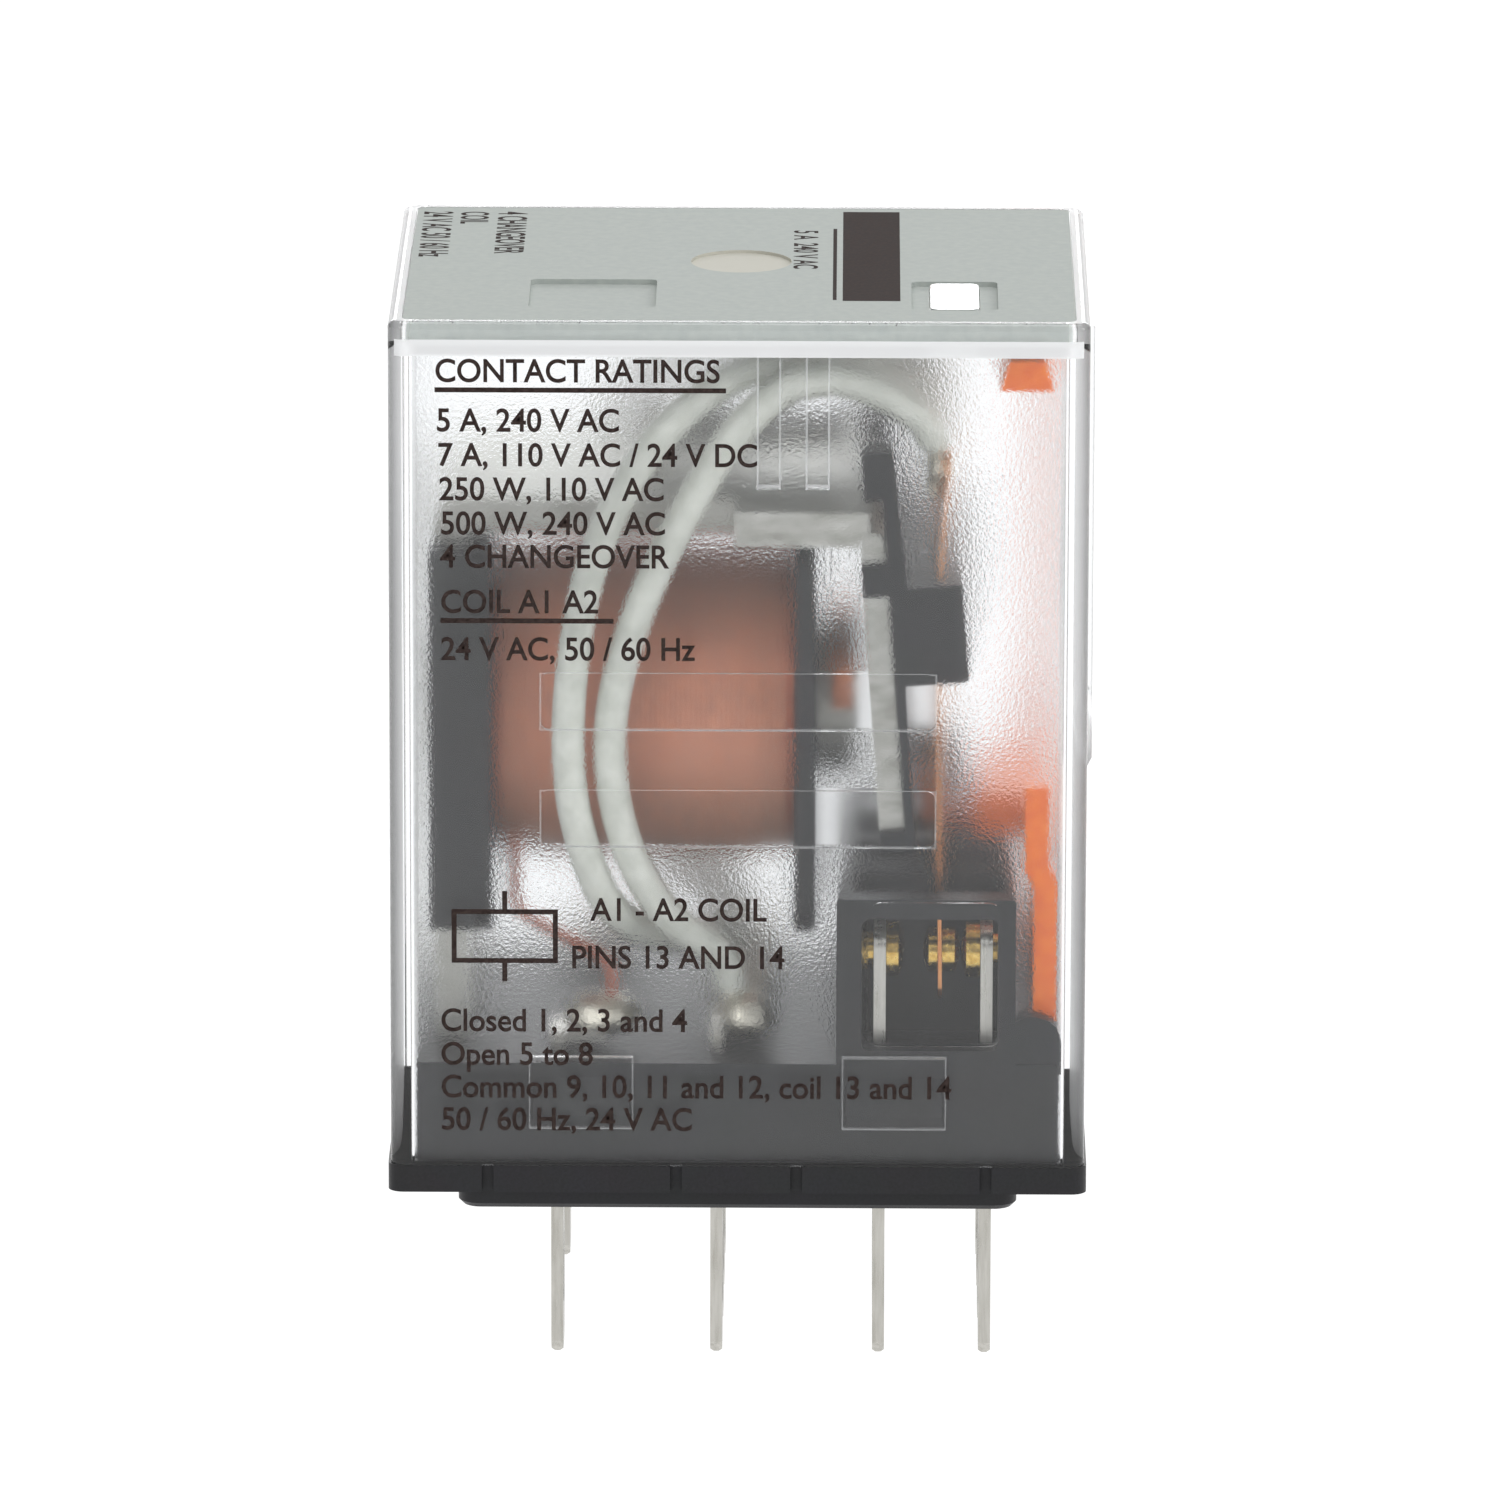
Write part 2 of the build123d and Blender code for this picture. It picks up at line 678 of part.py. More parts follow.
# Moving contacts: domed on both sides, riveted through the leaf
leaf_at_contact = leaf_tip[0] + (contact_height - leaf_tip[1]) * (
    (leaf_root[0] - leaf_tip[0]) / (leaf_root[1] - leaf_tip[1])
)
moving_seat_left = leaf_at_contact - half_leaf - seat_gap
moving_seat_right = leaf_at_contact + half_leaf + seat_gap
open_apex = moving_left - open_gap
closed_apex = moving_right + seat_gap
for number, column in enumerate(pole_columns, start=1):
    rivet_axis = Axis((0, column, contact_height), (1, 0, 0))
    rivet_plane = Plane(origin=(0, column, contact_height), x_dir=(1, 0, 0), z_dir=(0, -1, 0))

    with BuildPart() as moving_contact:
        with BuildSketch(rivet_plane):
            with BuildLine():
                TangentArc((moving_left, 0), (moving_left + dome_rise, contact_radius), tangent=(0, 1))
                Polyline(
                    (moving_left + dome_rise, contact_radius),
                    (moving_seat_left, contact_radius),
                    (moving_seat_left, shank_radius),
                    (moving_seat_right, shank_radius),
                    (moving_seat_right, contact_radius),
                    (moving_right - dome_rise, contact_radius),
                )
                TangentArc((moving_right, 0), (moving_right - dome_rise, contact_radius), tangent=(0, 1))
                Line((moving_right, 0), (moving_left, 0))
            make_face()
        revolve(axis=rivet_axis)
    moving_contact.part.label = f"moving_contact_{number}"
    export_step(moving_contact.part, f"parts/moving_contact_{number}.step")

    with BuildPart() as no_contact:
        with BuildSketch(rivet_plane):
            with BuildLine():
                TangentArc((open_apex, 0), (open_apex - dome_rise, fixed_contact_radius), tangent=(0, 1))
                Polyline(
                    *fixed_rivet_outline(
                        open_apex,
                        open_apex - dome_rise,
                        open_face + seat_gap,
                        open_face - blade_thickness - seat_gap,
                        open_face - blade_thickness - seat_gap - tail_head_length,
                    )
                )
            make_face()
        revolve(axis=rivet_axis)
    no_contact.part.label = f"no_contact_{number}"
    export_step(no_contact.part, f"parts/no_contact_{number}.step")

    with BuildPart() as nc_contact:
        with BuildSketch(rivet_plane):
            with BuildLine():
                TangentArc((closed_apex, 0), (closed_apex + dome_rise, fixed_contact_radius), tangent=(0, 1))
                Polyline(
                    *fixed_rivet_outline(
                        closed_apex,
                        closed_apex + dome_rise,
                        closed_face - seat_gap,
                        closed_face + blade_thickness + seat_gap,
                        closed_face + blade_thickness + seat_gap + tail_head_length,
                    )
                )
            make_face()
        revolve(axis=rivet_axis)
    nc_contact.part.label = f"nc_contact_{number}"
    export_step(nc_contact.part, f"parts/nc_contact_{number}.step")


def blade_below_base(column):
    """Draw the plug-in blade's face, from its tip to a shoulder above the base block."""
    shoulder = block_top + blade_shoulder
    with Locations((column, (shoulder - blade_reach) / 2)):
        Rectangle(blade_width, shoulder + blade_reach)
    chamfer(vertices().group_by(Axis.Y)[0], length=blade_tip_chamfer)
    with Locations((column, solder_slot_centre)):
        SlotOverall(solder_slot_length, solder_slot_width, rotation=90, mode=Mode.SUBTRACT)


# Contact and common terminals: flat stampings, blade below and tab above
for number, column in enumerate(pole_columns, start=1):
    for kind, row_x in (("no_terminal", open_row), ("nc_terminal", closed_row)):
        with BuildPart() as strip_terminal:
            with BuildSketch(Plane.YZ.offset(row_x - blade_thickness / 2)):
                blade_below_base(column)
                with Locations((column, (strip_top + block_top + 0.1) / 2)):
                    Rectangle(strip_width, strip_top - block_top - 0.1)
                fillet(vertices().group_by(Axis.Y)[-1], radius=0.8)
                with Locations((column, contact_height)):
                    Circle(shank_radius + seat_gap, mode=Mode.SUBTRACT)
            extrude(amount=blade_thickness)
            chamfer(strip_terminal.edges().filter_by(Axis.Y).group_by(Axis.Z)[0], length=0.14)
        strip_terminal.part.label = f"{kind}_{number}"
        export_step(strip_terminal.part, f"parts/{kind}_{number}.step")

    with BuildPart() as com_terminal:
        with BuildSketch(Plane.YZ.offset(common_row - blade_thickness / 2)):
            blade_below_base(column)
            with Locations((column, (common_top + block_top) / 2 - 0.5)):
                Rectangle(1.6, common_top - block_top + 1)
            fillet(vertices().group_by(Axis.Y)[-1], radius=0.5)
        extrude(amount=blade_thickness)
        chamfer(com_terminal.edges().filter_by(Axis.Y).group_by(Axis.Z)[0], length=0.14)
    com_terminal.part.label = f"com_terminal_{number}"
    export_step(com_terminal.part, f"parts/com_terminal_{number}.step")


# Coil terminals: the same blade, stepped towards the coil above the base
blade_half = blade_thickness / 2
for number, column in ((1, pole_columns[0]), (2, pole_columns[3])):
    with BuildPart() as coil_terminal:
        with BuildSketch(Plane.YZ.offset(coil_row - blade_half)):
            blade_below_base(column)
        extrude(amount=blade_thickness)
        chamfer(coil_terminal.edges().filter_by(Axis.Y).group_by(Axis.Z)[0], length=0.14)
        with BuildSketch(Plane.XZ.offset(-column)):
            with BuildLine():
                Polyline(
                    (coil_row - blade_half, block_top - 0.5),
                    (coil_row + blade_half, block_top - 0.5),
                    (coil_row + blade_half, coil_tab_step),
                    (coil_tab_x + blade_half, coil_tab_step),
                    (coil_tab_x + blade_half, coil_tab_top),
                    (coil_tab_x - blade_half, coil_tab_top),
                    (coil_tab_x - blade_half, coil_tab_step + blade_thickness),
                    (coil_row - blade_half, coil_tab_step + blade_thickness),
                    close=True,
                )
            make_face()
        extrude(amount=0.9, both=True)
    coil_terminal.part.label = f"coil_terminal_a{number}"
    export_step(coil_terminal.part, f"parts/coil_terminal_a{number}.step")


# Coil leads: enamelled wire from the winding down to each coil terminal
lead_x = coil_tab_x + blade_half + seat_gap + coil_lead_radius
for number, side in ((1, -1), (2, 1)):
    with BuildPart() as coil_lead:
        with BuildLine() as lead_path:
            FilletPolyline(
                (-8.9, side * 5.2, 14.3),
                (-8.9, side * 6.0, 11.4),
                (lead_x, side * 6.6, 9.4),
                (lead_x, side * 6.6, 6.9),
                radius=1.0,
            )
        with BuildSketch(Plane(origin=lead_path.line @ 0, z_dir=lead_path.line % 0)):
            Circle(coil_lead_radius)
        sweep(path=lead_path.line)
    coil_lead.part.label = f"coil_lead_a{number}"
    export_step(coil_lead.part, f"parts/coil_lead_a{number}.step")


def bend_radii(route):
    """Give the largest comfortable bend for each inner corner of a wire's route."""
    radii = []
    for before, corner, after in zip(route, route[1:], route[2:]):
        run_in = Vector(*corner) - Vector(*before)
        run_out = Vector(*after) - Vector(*corner)
        turn = radians(run_in.get_angle(run_out))
        radii.append(bend_share * min(run_in.length, run_out.length) / tan(turn / 2))
    return radii


# Lead wires: insulated, from the tail of each leaf over the coil to its common blade
upper_stub_x = leaf_bend[0] - half_leaf + 0.1 - conductor_radius
lower_stub_x = common_row + blade_half + seat_gap + conductor_radius
outer_pole_route = [
    (upper_stub_x, 6.6, 30.5),
    (upper_stub_x, 6.6, 31.5),
    (4.6, 6.9, 33.3),
    (2.2, 7.2, 33.4),
    (0.0, 7.9, 31.7),
    (-1.9, 8.5, 28.7),
    (-3.9, 8.6, 24.6),
    (-5.05, 8.6, 20.6),
    (-5.1, 8.6, 17.3),
    (-4.3, 8.6, 14.1),
    (-2.6, 8.5, 11.4),
    (lower_stub_x, 6.6, 9.7),
    (lower_stub_x, 6.6, 8.3),
]
inner_pole_route = [
    (upper_stub_x, 2.2, 30.5),
    (upper_stub_x, 2.2, 31.6),
    (3.2, 4.6, 33.9),
    (-0.75, 7.2, 33.4),
    (-3.9, 8.6, 30.6),
    (-5.9, 8.8, 26.3),
    (-6.7, 8.8, 21.4),
    (-6.75, 8.8, 17.3),
    (-6.0, 8.8, 14.0),
    (-4.9, 8.6, 11.8),
    (-2.6, 4.6, 9.8),
    (lower_stub_x, 2.2, 9.9),
    (lower_stub_x, 2.2, 8.3),
]
wire_routes = [
    (-1, outer_pole_route),
    (-1, inner_pole_route),
    (1, inner_pole_route),
    (1, outer_pole_route),
]
for number, (side, route) in enumerate(wire_routes, start=1):
    with BuildPart() as lead_wire:
        with BuildLine() as wire_path:
            FilletPolyline(*[(x, side * y, z) for x, y, z in route], radius=bend_radii(route))
        with BuildSketch(Plane(origin=wire_path.line @ 0, z_dir=wire_path.line % 0)):
            Circle(wire_radius)
        sweep(path=wire_path.line)
        with BuildSketch(Plane.XY.offset(route[0][2] + 0.2)):
            with Locations((route[0][0], side * route[0][1])):
                Circle(conductor_radius)
        extrude(amount=-2.2)
        with BuildSketch(Plane.XY.offset(route[-1][2] + 0.2)):
            with Locations((route[-1][0], side * route[-1][1])):
                Circle(conductor_radius)
        extrude(amount=-1.6)
    lead_wire.part.label = f"lead_wire_{number}"
    export_step(lead_wire.part, f"parts/lead_wire_{number}.step")


# Return spring: close-wound coils with a half-loop hook at each end
spring_plane = Plane(origin=(0, 0, spring_axis_height), x_dir=(1, 0, 0), z_dir=(0, -1, 0))
coil_pitch = (spring_end - spring_start) / (spring_coils - 1)
coil_wire_radius = max(spring_wire / 2, coil_pitch * 0.55)
with BuildPart() as return_spring:
    with BuildSketch(spring_plane):
        for turn in range(spring_coils):
            with Locations((spring_start + turn * coil_pitch, spring_mean_radius)):
                Circle(coil_wire_radius)
    revolve(axis=Axis((0, 0, spring_axis_height), (1, 0, 0)))
    for end_x, side in ((spring_start, -1), (spring_end, 1)):
        loop_x = end_x + side * hook_run
        with BuildLine() as hook_path:
            Line(
                (end_x, 0, spring_axis_height + spring_mean_radius),
                (loop_x, 0, spring_axis_height + spring_mean_radius),
            )
            ThreePointArc(
                (loop_x, 0, spring_axis_height + spring_mean_radius),
                (loop_x + side * spring_mean_radius, 0, spring_axis_height),
                (loop_x, 0, spring_axis_height - spring_mean_radius),
            )
        with BuildSketch(Plane(origin=hook_path.line @ 0, z_dir=hook_path.line % 0)):
            Circle(spring_wire / 2)
        sweep(path=hook_path.line)
return_spring.part.label = "return_spring"
export_step(return_spring.part, "parts/return_spring.step")


# Indicator lever: two legs on pins, a cross beam, a bead driven by the carrier, and
# an arm on the back leg that carries the flag across under the plate's window
flag_top = inner_top - flag_clearance
flag_low = flag_top - flag_height
with BuildPart() as indicator_flag:
    for side in (-1, 1):
        with BuildSketch(Plane.XZ.offset(-side * lever_leg_inner)):
            with BuildLine():
                Polyline(
                    (lever_x - 0.55, lever_z - 0.6),
                    (lever_x + 0.55, lever_z - 0.6),
                    (lever_x + 0.55, 13.2),
                    (lever_x + 0.2, 13.9),
                    (lever_x + 0.2, 17.1),
                    (lever_x - 0.75, 17.1),
                    (lever_x - 0.75, 13.7),
                    (lever_x - 0.4, 13.0),
                    (lever_x - 0.4, 8.0),
                    (lever_x - 0.55, 7.6),
                    close=True,
                )
            make_face()
        extrude(amount=-side * (lever_leg_outer - lever_leg_inner))
        with BuildSketch(Plane.XZ.offset(-side * (lever_leg_outer - 0.1))):
            with Locations((lever_x, lever_z)):
                Circle(lever_pin_radius)
        extrude(amount=-side * (boss_outer - boss_cap - lever_leg_outer))
    with BuildSketch(Plane.XZ):
        with Locations((lever_x - 0.275, 14.75)):
            Rectangle(0.95, 1.7)
    extrude(amount=lever_leg_outer, both=True)
    with BuildSketch(Plane.XZ):
        with Locations((lever_x - 1.25, 14.75)):
            RectangleRounded(2.9, 1.7, 0.25)
    extrude(amount=lever_beam_half_depth, both=True)
    with BuildSketch(Plane.XZ):
        with Locations(bead):
            Circle(bead_radius)
        with BuildLine():
            Polyline(
                (bead[0] - 0.35, bead[1]),
                (bead[0] - 0.35, 13.6),
                (lever_x - 1.6, 13.6),
                (lever_x - 1.6, 14.4),
                (bead[0] + 0.35, 14.4),
                (bead[0] + 0.35, bead[1]),
                close=True,
            )
        make_face()
    extrude(amount=finger_half_width, both=True)
    with BuildSketch(Plane.XZ.offset(-lever_leg_outer)):
        with BuildLine():
            Polyline(
                (lever_x - 0.6, 15.0),
                (lever_x + 0.1, 15.0),
                (lever_x + 0.25, 20.0),
                (lever_x + 0.25, flag_low + 0.6),
                (lever_x - 0.35, flag_low + 0.6),
                (lever_x - 0.35, 20.0),
                close=True,
            )
        make_face()
    extrude(amount=lever_leg_outer - lever_leg_inner)
    with BuildSketch(Plane.XZ.offset(-lever_leg_outer)):
        with BuildLine():
            Polyline(
                (lever_x - 1.85, flag_low),
                (lever_x + 0.25, flag_low),
                (lever_x - 0.1, flag_top),
                (lever_x - 1.5, flag_top),
                close=True,
            )
        make_face()
    extrude(amount=lever_leg_outer + flag_front)
indicator_flag.part.label = "indicator_flag"
export_step(indicator_flag.part, "parts/indicator_flag.step")
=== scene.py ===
"""Plug-in relay with four changeover poles under a frosted clear cover."""

import math

import bpy
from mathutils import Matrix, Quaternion, Vector, noise


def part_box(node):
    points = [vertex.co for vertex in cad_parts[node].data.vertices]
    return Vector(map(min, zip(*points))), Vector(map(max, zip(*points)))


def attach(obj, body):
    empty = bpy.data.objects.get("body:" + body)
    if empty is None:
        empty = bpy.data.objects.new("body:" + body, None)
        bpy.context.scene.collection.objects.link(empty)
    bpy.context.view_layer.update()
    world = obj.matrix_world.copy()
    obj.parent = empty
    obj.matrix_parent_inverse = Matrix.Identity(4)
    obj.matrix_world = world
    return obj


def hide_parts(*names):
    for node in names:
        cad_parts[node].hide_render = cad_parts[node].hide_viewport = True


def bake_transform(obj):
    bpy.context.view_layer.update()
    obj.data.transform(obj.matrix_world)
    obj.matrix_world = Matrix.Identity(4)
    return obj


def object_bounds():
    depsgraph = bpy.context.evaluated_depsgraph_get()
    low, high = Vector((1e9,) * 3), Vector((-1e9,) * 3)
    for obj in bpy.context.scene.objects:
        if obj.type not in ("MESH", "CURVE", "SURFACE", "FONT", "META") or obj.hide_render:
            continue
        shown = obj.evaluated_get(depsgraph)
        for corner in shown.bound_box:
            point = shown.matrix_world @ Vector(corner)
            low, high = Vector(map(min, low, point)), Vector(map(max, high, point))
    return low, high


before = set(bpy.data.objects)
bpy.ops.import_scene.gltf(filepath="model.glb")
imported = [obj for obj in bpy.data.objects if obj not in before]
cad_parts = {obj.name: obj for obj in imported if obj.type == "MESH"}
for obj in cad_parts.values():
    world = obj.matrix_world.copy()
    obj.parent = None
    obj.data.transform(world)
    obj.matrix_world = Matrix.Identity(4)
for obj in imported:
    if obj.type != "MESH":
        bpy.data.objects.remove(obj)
cad_box = [list(corner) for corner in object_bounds()]

MM = 0.001
scene = bpy.context.scene
scene.view_settings.view_transform = "Standard"

# ---------------------------------------------------------------------------
# Camera: a long lens, a little above the relay, square to its printed side.
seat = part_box("base")[0].z
camera_target = Vector((0.39 * MM, 0, seat + 16.29 * MM))
camera_azimuth, camera_elevation = math.radians(0.425), math.radians(14.823)
camera_back = Vector(
    (
        math.sin(camera_azimuth) * math.cos(camera_elevation),
        -math.cos(camera_azimuth) * math.cos(camera_elevation),
        math.sin(camera_elevation),
    )
)
camera_data = bpy.data.cameras.new("studio camera")
camera_data.lens = 339.73
camera_data.clip_start = 0.02
camera_data.clip_end = 20
camera = bpy.data.objects.new("studio camera", camera_data)
scene.collection.objects.link(camera)
camera.rotation_mode = "QUATERNION"
CAMERA_DISTANCE = 0.56796
camera.location = camera_target + camera_back * CAMERA_DISTANCE
camera.rotation_quaternion = (-camera_back).to_track_quat("-Z", "Y") @ Quaternion(
    (0, 0, 1), math.radians(0.136)
)
scene.camera = camera

# ---------------------------------------------------------------------------
# Studio: a white table that glows evenly, walls that are darker on the left, three
# soft lamps and a lit wall behind, so the background stays white and steel mid grey.


def linear(hex_colour):
    """Turn an sRGB hex colour such as "#c0c8c4" into the linear colour shaders take."""
    channels = [int(hex_colour[i : i + 2], 16) / 255 for i in (1, 3, 5)]
    return (*[c / 12.92 if c <= 0.04045 else ((c + 0.055) / 1.055) ** 2.4 for c in channels], 1)


def add_node(tree, kind, settings={}, values={}, links={}):
    """Add one shader node, with its settings, its socket values and what feeds it."""
    made = tree.nodes.new(kind)
    for name, value in settings.items():
        setattr(made, name, value)
    for name, value in values.items():
        made.inputs[name].default_value = value
    for name, source in links.items():
        tree.links.new(source, made.inputs[name])
    return made


def new_material(name, colour, **sockets):
    """Start a material from its common name, its sRGB colour and constant values."""
    material = bpy.data.materials.new(name)
    material.use_nodes = True
    shader = material.node_tree.nodes["Principled BSDF"]
    shader.inputs["Base Color"].default_value = linear(colour)
    for socket, value in sockets.items():
        shader.inputs[socket.replace("_", " ")].default_value = value
    return material, material.node_tree, shader


blade_tips = cad_box[0][2]
table_white, tree, shader = new_material("white acrylic table", "#ffffff", Roughness=0.6)
glow = add_node(tree, "ShaderNodeEmission", values={"Color": linear("#ffffff"), "Strength": 1.15})
mix = add_node(
    tree, "ShaderNodeMixShader", values={"Fac": 0.1}, links={1: glow.outputs[0], 2: shader.outputs[0]}
)
tree.links.new(mix.outputs[0], tree.nodes["Material Output"].inputs["Surface"])
table_mesh = bpy.data.meshes.new("table")
TABLE_HALF = 3
corners = [(-1, -1), (1, -1), (1, 1), (-1, 1)]
table_mesh.from_pydata(
    [(x * TABLE_HALF, y * TABLE_HALF, blade_tips) for x, y in corners], [], [(0, 1, 2, 3)]
)
table_mesh.materials.append(table_white)
table = bpy.data.objects.new("table", table_mesh)
scene.collection.objects.link(table)

world = bpy.data.worlds.new("studio walls")
scene.world = world
world.use_nodes = True
world.node_tree.nodes["Background"].inputs["Color"].default_value = linear("#f4f6f8")
way = add_node(world.node_tree, "ShaderNodeTexCoord")
sides = add_node(world.node_tree, "ShaderNodeSeparateXYZ", links={"Vector": way.outputs["Generated"]})
wall_light = add_node(
    world.node_tree,
    "ShaderNodeMapRange",
    values={"From Min": -0.8, "From Max": 0.5, "To Min": 0.1, "To Max": 0.42},
    links={"Value": sides.outputs["X"]},
)
world.node_tree.links.new(
    wall_light.outputs["Result"], world.node_tree.nodes["Background"].inputs["Strength"]
)


def add_lamp(name, place, width, height, power):
    """Hang one soft rectangular lamp, aimed at the middle of the relay."""
    data = bpy.data.lights.new(name, "AREA")
    data.shape = "RECTANGLE"
    data.size, data.size_y, data.energy = width, height, power
    lamp = bpy.data.objects.new(name, data)
    scene.collection.objects.link(lamp)
    lamp.location = place
    lamp.rotation_mode = "QUATERNION"
    lamp.rotation_quaternion = (camera_target - Vector(place)).to_track_quat("-Z", "Y")


add_lamp("front softbox", (-0.35, -0.9, 0.55), 0.5, 0.5, 2.3)
add_lamp("right softbox", (0.8, -0.35, 0.45), 0.35, 0.6, 2.2)
add_lamp("top softbox", (0.0, 0.15, 0.9), 0.7, 0.5, 2.6)
add_lamp("white wall behind", (0.0, 1.8, 0.55), 3.0, 1.2, 15)
add_lamp("strip behind", (0.0, 1.7, 0.48), 1.6, 0.2, 3)

# ---------------------------------------------------------------------------
# Base, bobbin and contact carrier: glass-filled nylon, injection moulded in black
# with a fine satin spark-eroded skin; the gate leaves slow cloudy flow marks.


def per_mm(size):
    """Texture scale that makes one feature this many millimetres across."""
    return 1 / (size * MM)


def mottle(tree, shader, size, dark, light, gloss, depth, stretch=(1, 1, 1)):
    """Vary colour, gloss and height over one noise with features `size` mm across.

    `gloss` is the lowest and highest roughness, `depth` the height in mm, and a
    stretch under 1 draws the features out along that axis, as rolling does.
    """
    place = add_node(tree, "ShaderNodeTexCoord")
    drawn = add_node(
        tree, "ShaderNodeMapping", values={"Scale": stretch}, links={"Vector": place.outputs["Object"]}
    )
    speck = add_node(
        tree,
        "ShaderNodeTexNoise",
        values={"Scale": per_mm(size), "Detail": 4.0},
        links={"Vector": drawn.outputs["Vector"]},
    )
    shade = add_node(tree, "ShaderNodeValToRGB", links={"Fac": speck.outputs["Fac"]})
    low, high = shade.color_ramp.elements
    low.position, low.color = 0.3, linear(dark)
    high.position, high.color = 0.7, linear(light)
    rough = add_node(
        tree,
        "ShaderNodeMapRange",
        values={"From Min": 0.3, "From Max": 0.7, "To Min": gloss[0], "To Max": gloss[1]},
        links={"Value": speck.outputs["Fac"]},
    )
    skin = add_node(
        tree,
        "ShaderNodeBump",
        values={"Strength": 0.5, "Distance": depth * MM},
        links={"Height": speck.outputs["Fac"]},
    )
    tree.links.new(shade.outputs["Color"], shader.inputs["Base Color"])
    tree.links.new(rough.outputs["Result"], shader.inputs["Roughness"])
    tree.links.new(skin.outputs["Normal"], shader.inputs["Normal"])
    return place, shade


def give(material, *node_names):
    """Put one material on carried-over pieces."""
    for name in node_names:
        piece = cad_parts[name]
        piece.data.materials.clear()
        piece.data.materials.append(material)


black_nylon, tree, shader = new_material("moulded black nylon", "#222226", Specular_IOR_Level=0.35)
place, shade = mottle(tree, shader, 0.12, "#19191c", "#252529", (0.34, 0.52), 0.01)
flow = add_node(
    tree,
    "ShaderNodeTexNoise",
    values={"Scale": per_mm(5.0), "Detail": 2.0, "Distortion": 1.5},
    links={"Vector": place.outputs["Object"]},
)
clouds = add_node(
    tree,
    "ShaderNodeMix",
    {"data_type": "RGBA", "blend_type": "MULTIPLY"},
    {"Factor": 0.35},
    {"A": shade.outputs["Color"], "B": flow.outputs["Color"]},
)
tree.links.new(clouds.outputs["Result"], shader.inputs["Base Color"])
give(black_nylon, "base", "bobbin", "contact_carrier")

# ---------------------------------------------------------------------------
# Terminals: punched from brass strip and tin plated, so the flat faces carry faint
# rolling lines along the blade and the punched edges are a little greyer.
tinned, tree, shader = new_material("tin plated brass", "#cfcdc6", Metallic=1.0)
mottle(tree, shader, 0.2, "#aaa8a1", "#c9c7c1", (0.2, 0.42), 0.006, (1, 1, 0.12))
blades = [f"{kind}_terminal_{i}" for kind in ("com", "no", "nc") for i in (1, 2, 3, 4)]
give(tinned, *blades, "coil_terminal_a1", "coil_terminal_a2")

# ---------------------------------------------------------------------------
# Solder: a soft bright fillet where each wire meets its tab. It is drawn up the
# tab by surface tension, and sets with a slightly lumpy skin.
solder, tree, shader = new_material("tin solder", "#e6e2d4", Metallic=1.0)
mottle(tree, shader, 0.3, "#cfcabb", "#f2eee0", (0.22, 0.45), 0.02)
SOLDER_SIDES, SOLDER_RINGS = 20, 10


def solder_joint(name, centre, half_size, body, lumps):
    """Cast one solder fillet: rings of a flattened bell, swollen low and lumpy."""
    middle, half = Vector(centre) * MM, Vector(half_size) * MM
    mesh = bpy.data.meshes.new(name)
    points, faces = [middle - Vector((0, 0, half.z))], []
    for ring in range(1, SOLDER_RINGS):
        angle = math.pi * ring / SOLDER_RINGS
        swell = math.sin(angle) * (1.12 - 0.3 * ring / SOLDER_RINGS)
        for side in range(SOLDER_SIDES):
            turn = 2 * math.pi * side / SOLDER_SIDES
            way = Vector((math.cos(turn) * swell, math.sin(turn) * swell, -math.cos(angle)))
            lump = 1 + lumps * noise.noise(way * 2.1 + middle / MM)
            points.append(middle + Vector((way.x * half.x, way.y * half.y, way.z * half.z)) * lump)
    points.append(middle + Vector((0, 0, half.z)))
    last = len(points) - 1
    for side in range(SOLDER_SIDES):
        after = (side + 1) % SOLDER_SIDES
        faces.append((0, 1 + after, 1 + side))
        for ring in range(SOLDER_RINGS - 2):
            low, high = 1 + ring * SOLDER_SIDES, 1 + (ring + 1) * SOLDER_SIDES
            faces.append((low + side, low + after, high + after, high + side))
        top = last - SOLDER_SIDES
        faces.append((top + side, top + after, last))
    mesh.from_pydata(points, [], faces)
    mesh.shade_smooth()
    mesh.materials.append(solder)
    joint = bpy.data.objects.new(name, mesh)
    scene.collection.objects.link(joint)
    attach(joint, body)


pole_boxes = [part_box(f"com_terminal_{i}") for i in (1, 2, 3, 4)]
pole_columns = [(low.y + high.y) / 2 / MM for low, high in pole_boxes]
common_tab_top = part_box("com_terminal_1")[1].z / MM
for i, column in enumerate(pole_columns, start=1):
    place = (0.3, column, common_tab_top - 0.3)
    solder_joint(f"common_solder_{i}", place, (1.25, 1.1, 0.9), "housing", 0.25)
coil_tab_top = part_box("coil_terminal_a1")[1].z / MM
for i, column in ((1, pole_columns[0]), (2, pole_columns[3])):
    place = (-5.4, column, coil_tab_top - 0.25)
    solder_joint(f"coil_solder_{i}", place, (1.5, 1.2, 0.8), "housing", 0.3)

# ---------------------------------------------------------------------------
# Contacts: silver alloy rivets with a gold flash. Heading leaves fine rings on the
# dome, and switching wears a greyer patch at its crown.
gold_flash, tree, shader = new_material("gold flashed silver", "#d9b45e", Metallic=1.0)
mottle(tree, shader, 0.25, "#c29a45", "#e8c878", (0.14, 0.3), 0.008)
give(gold_flash, *[f"{kind}_contact_{i}" for kind in ("no", "nc", "moving") for i in (1, 2, 3, 4)])

# ---------------------------------------------------------------------------
# Magnet: yoke, core and armature in zinc-plated mild steel, cut and bent. The
# plating is bright but cloudy, and the cut edges are duller.
zinc, tree, shader = new_material("zinc plated mild steel", "#b9bab8", Metallic=1.0)
mottle(tree, shader, 0.5, "#94938c", "#c9c9c4", (0.32, 0.55), 0.015, (0.4, 1, 1))
give(zinc, "yoke", "core", "armature")

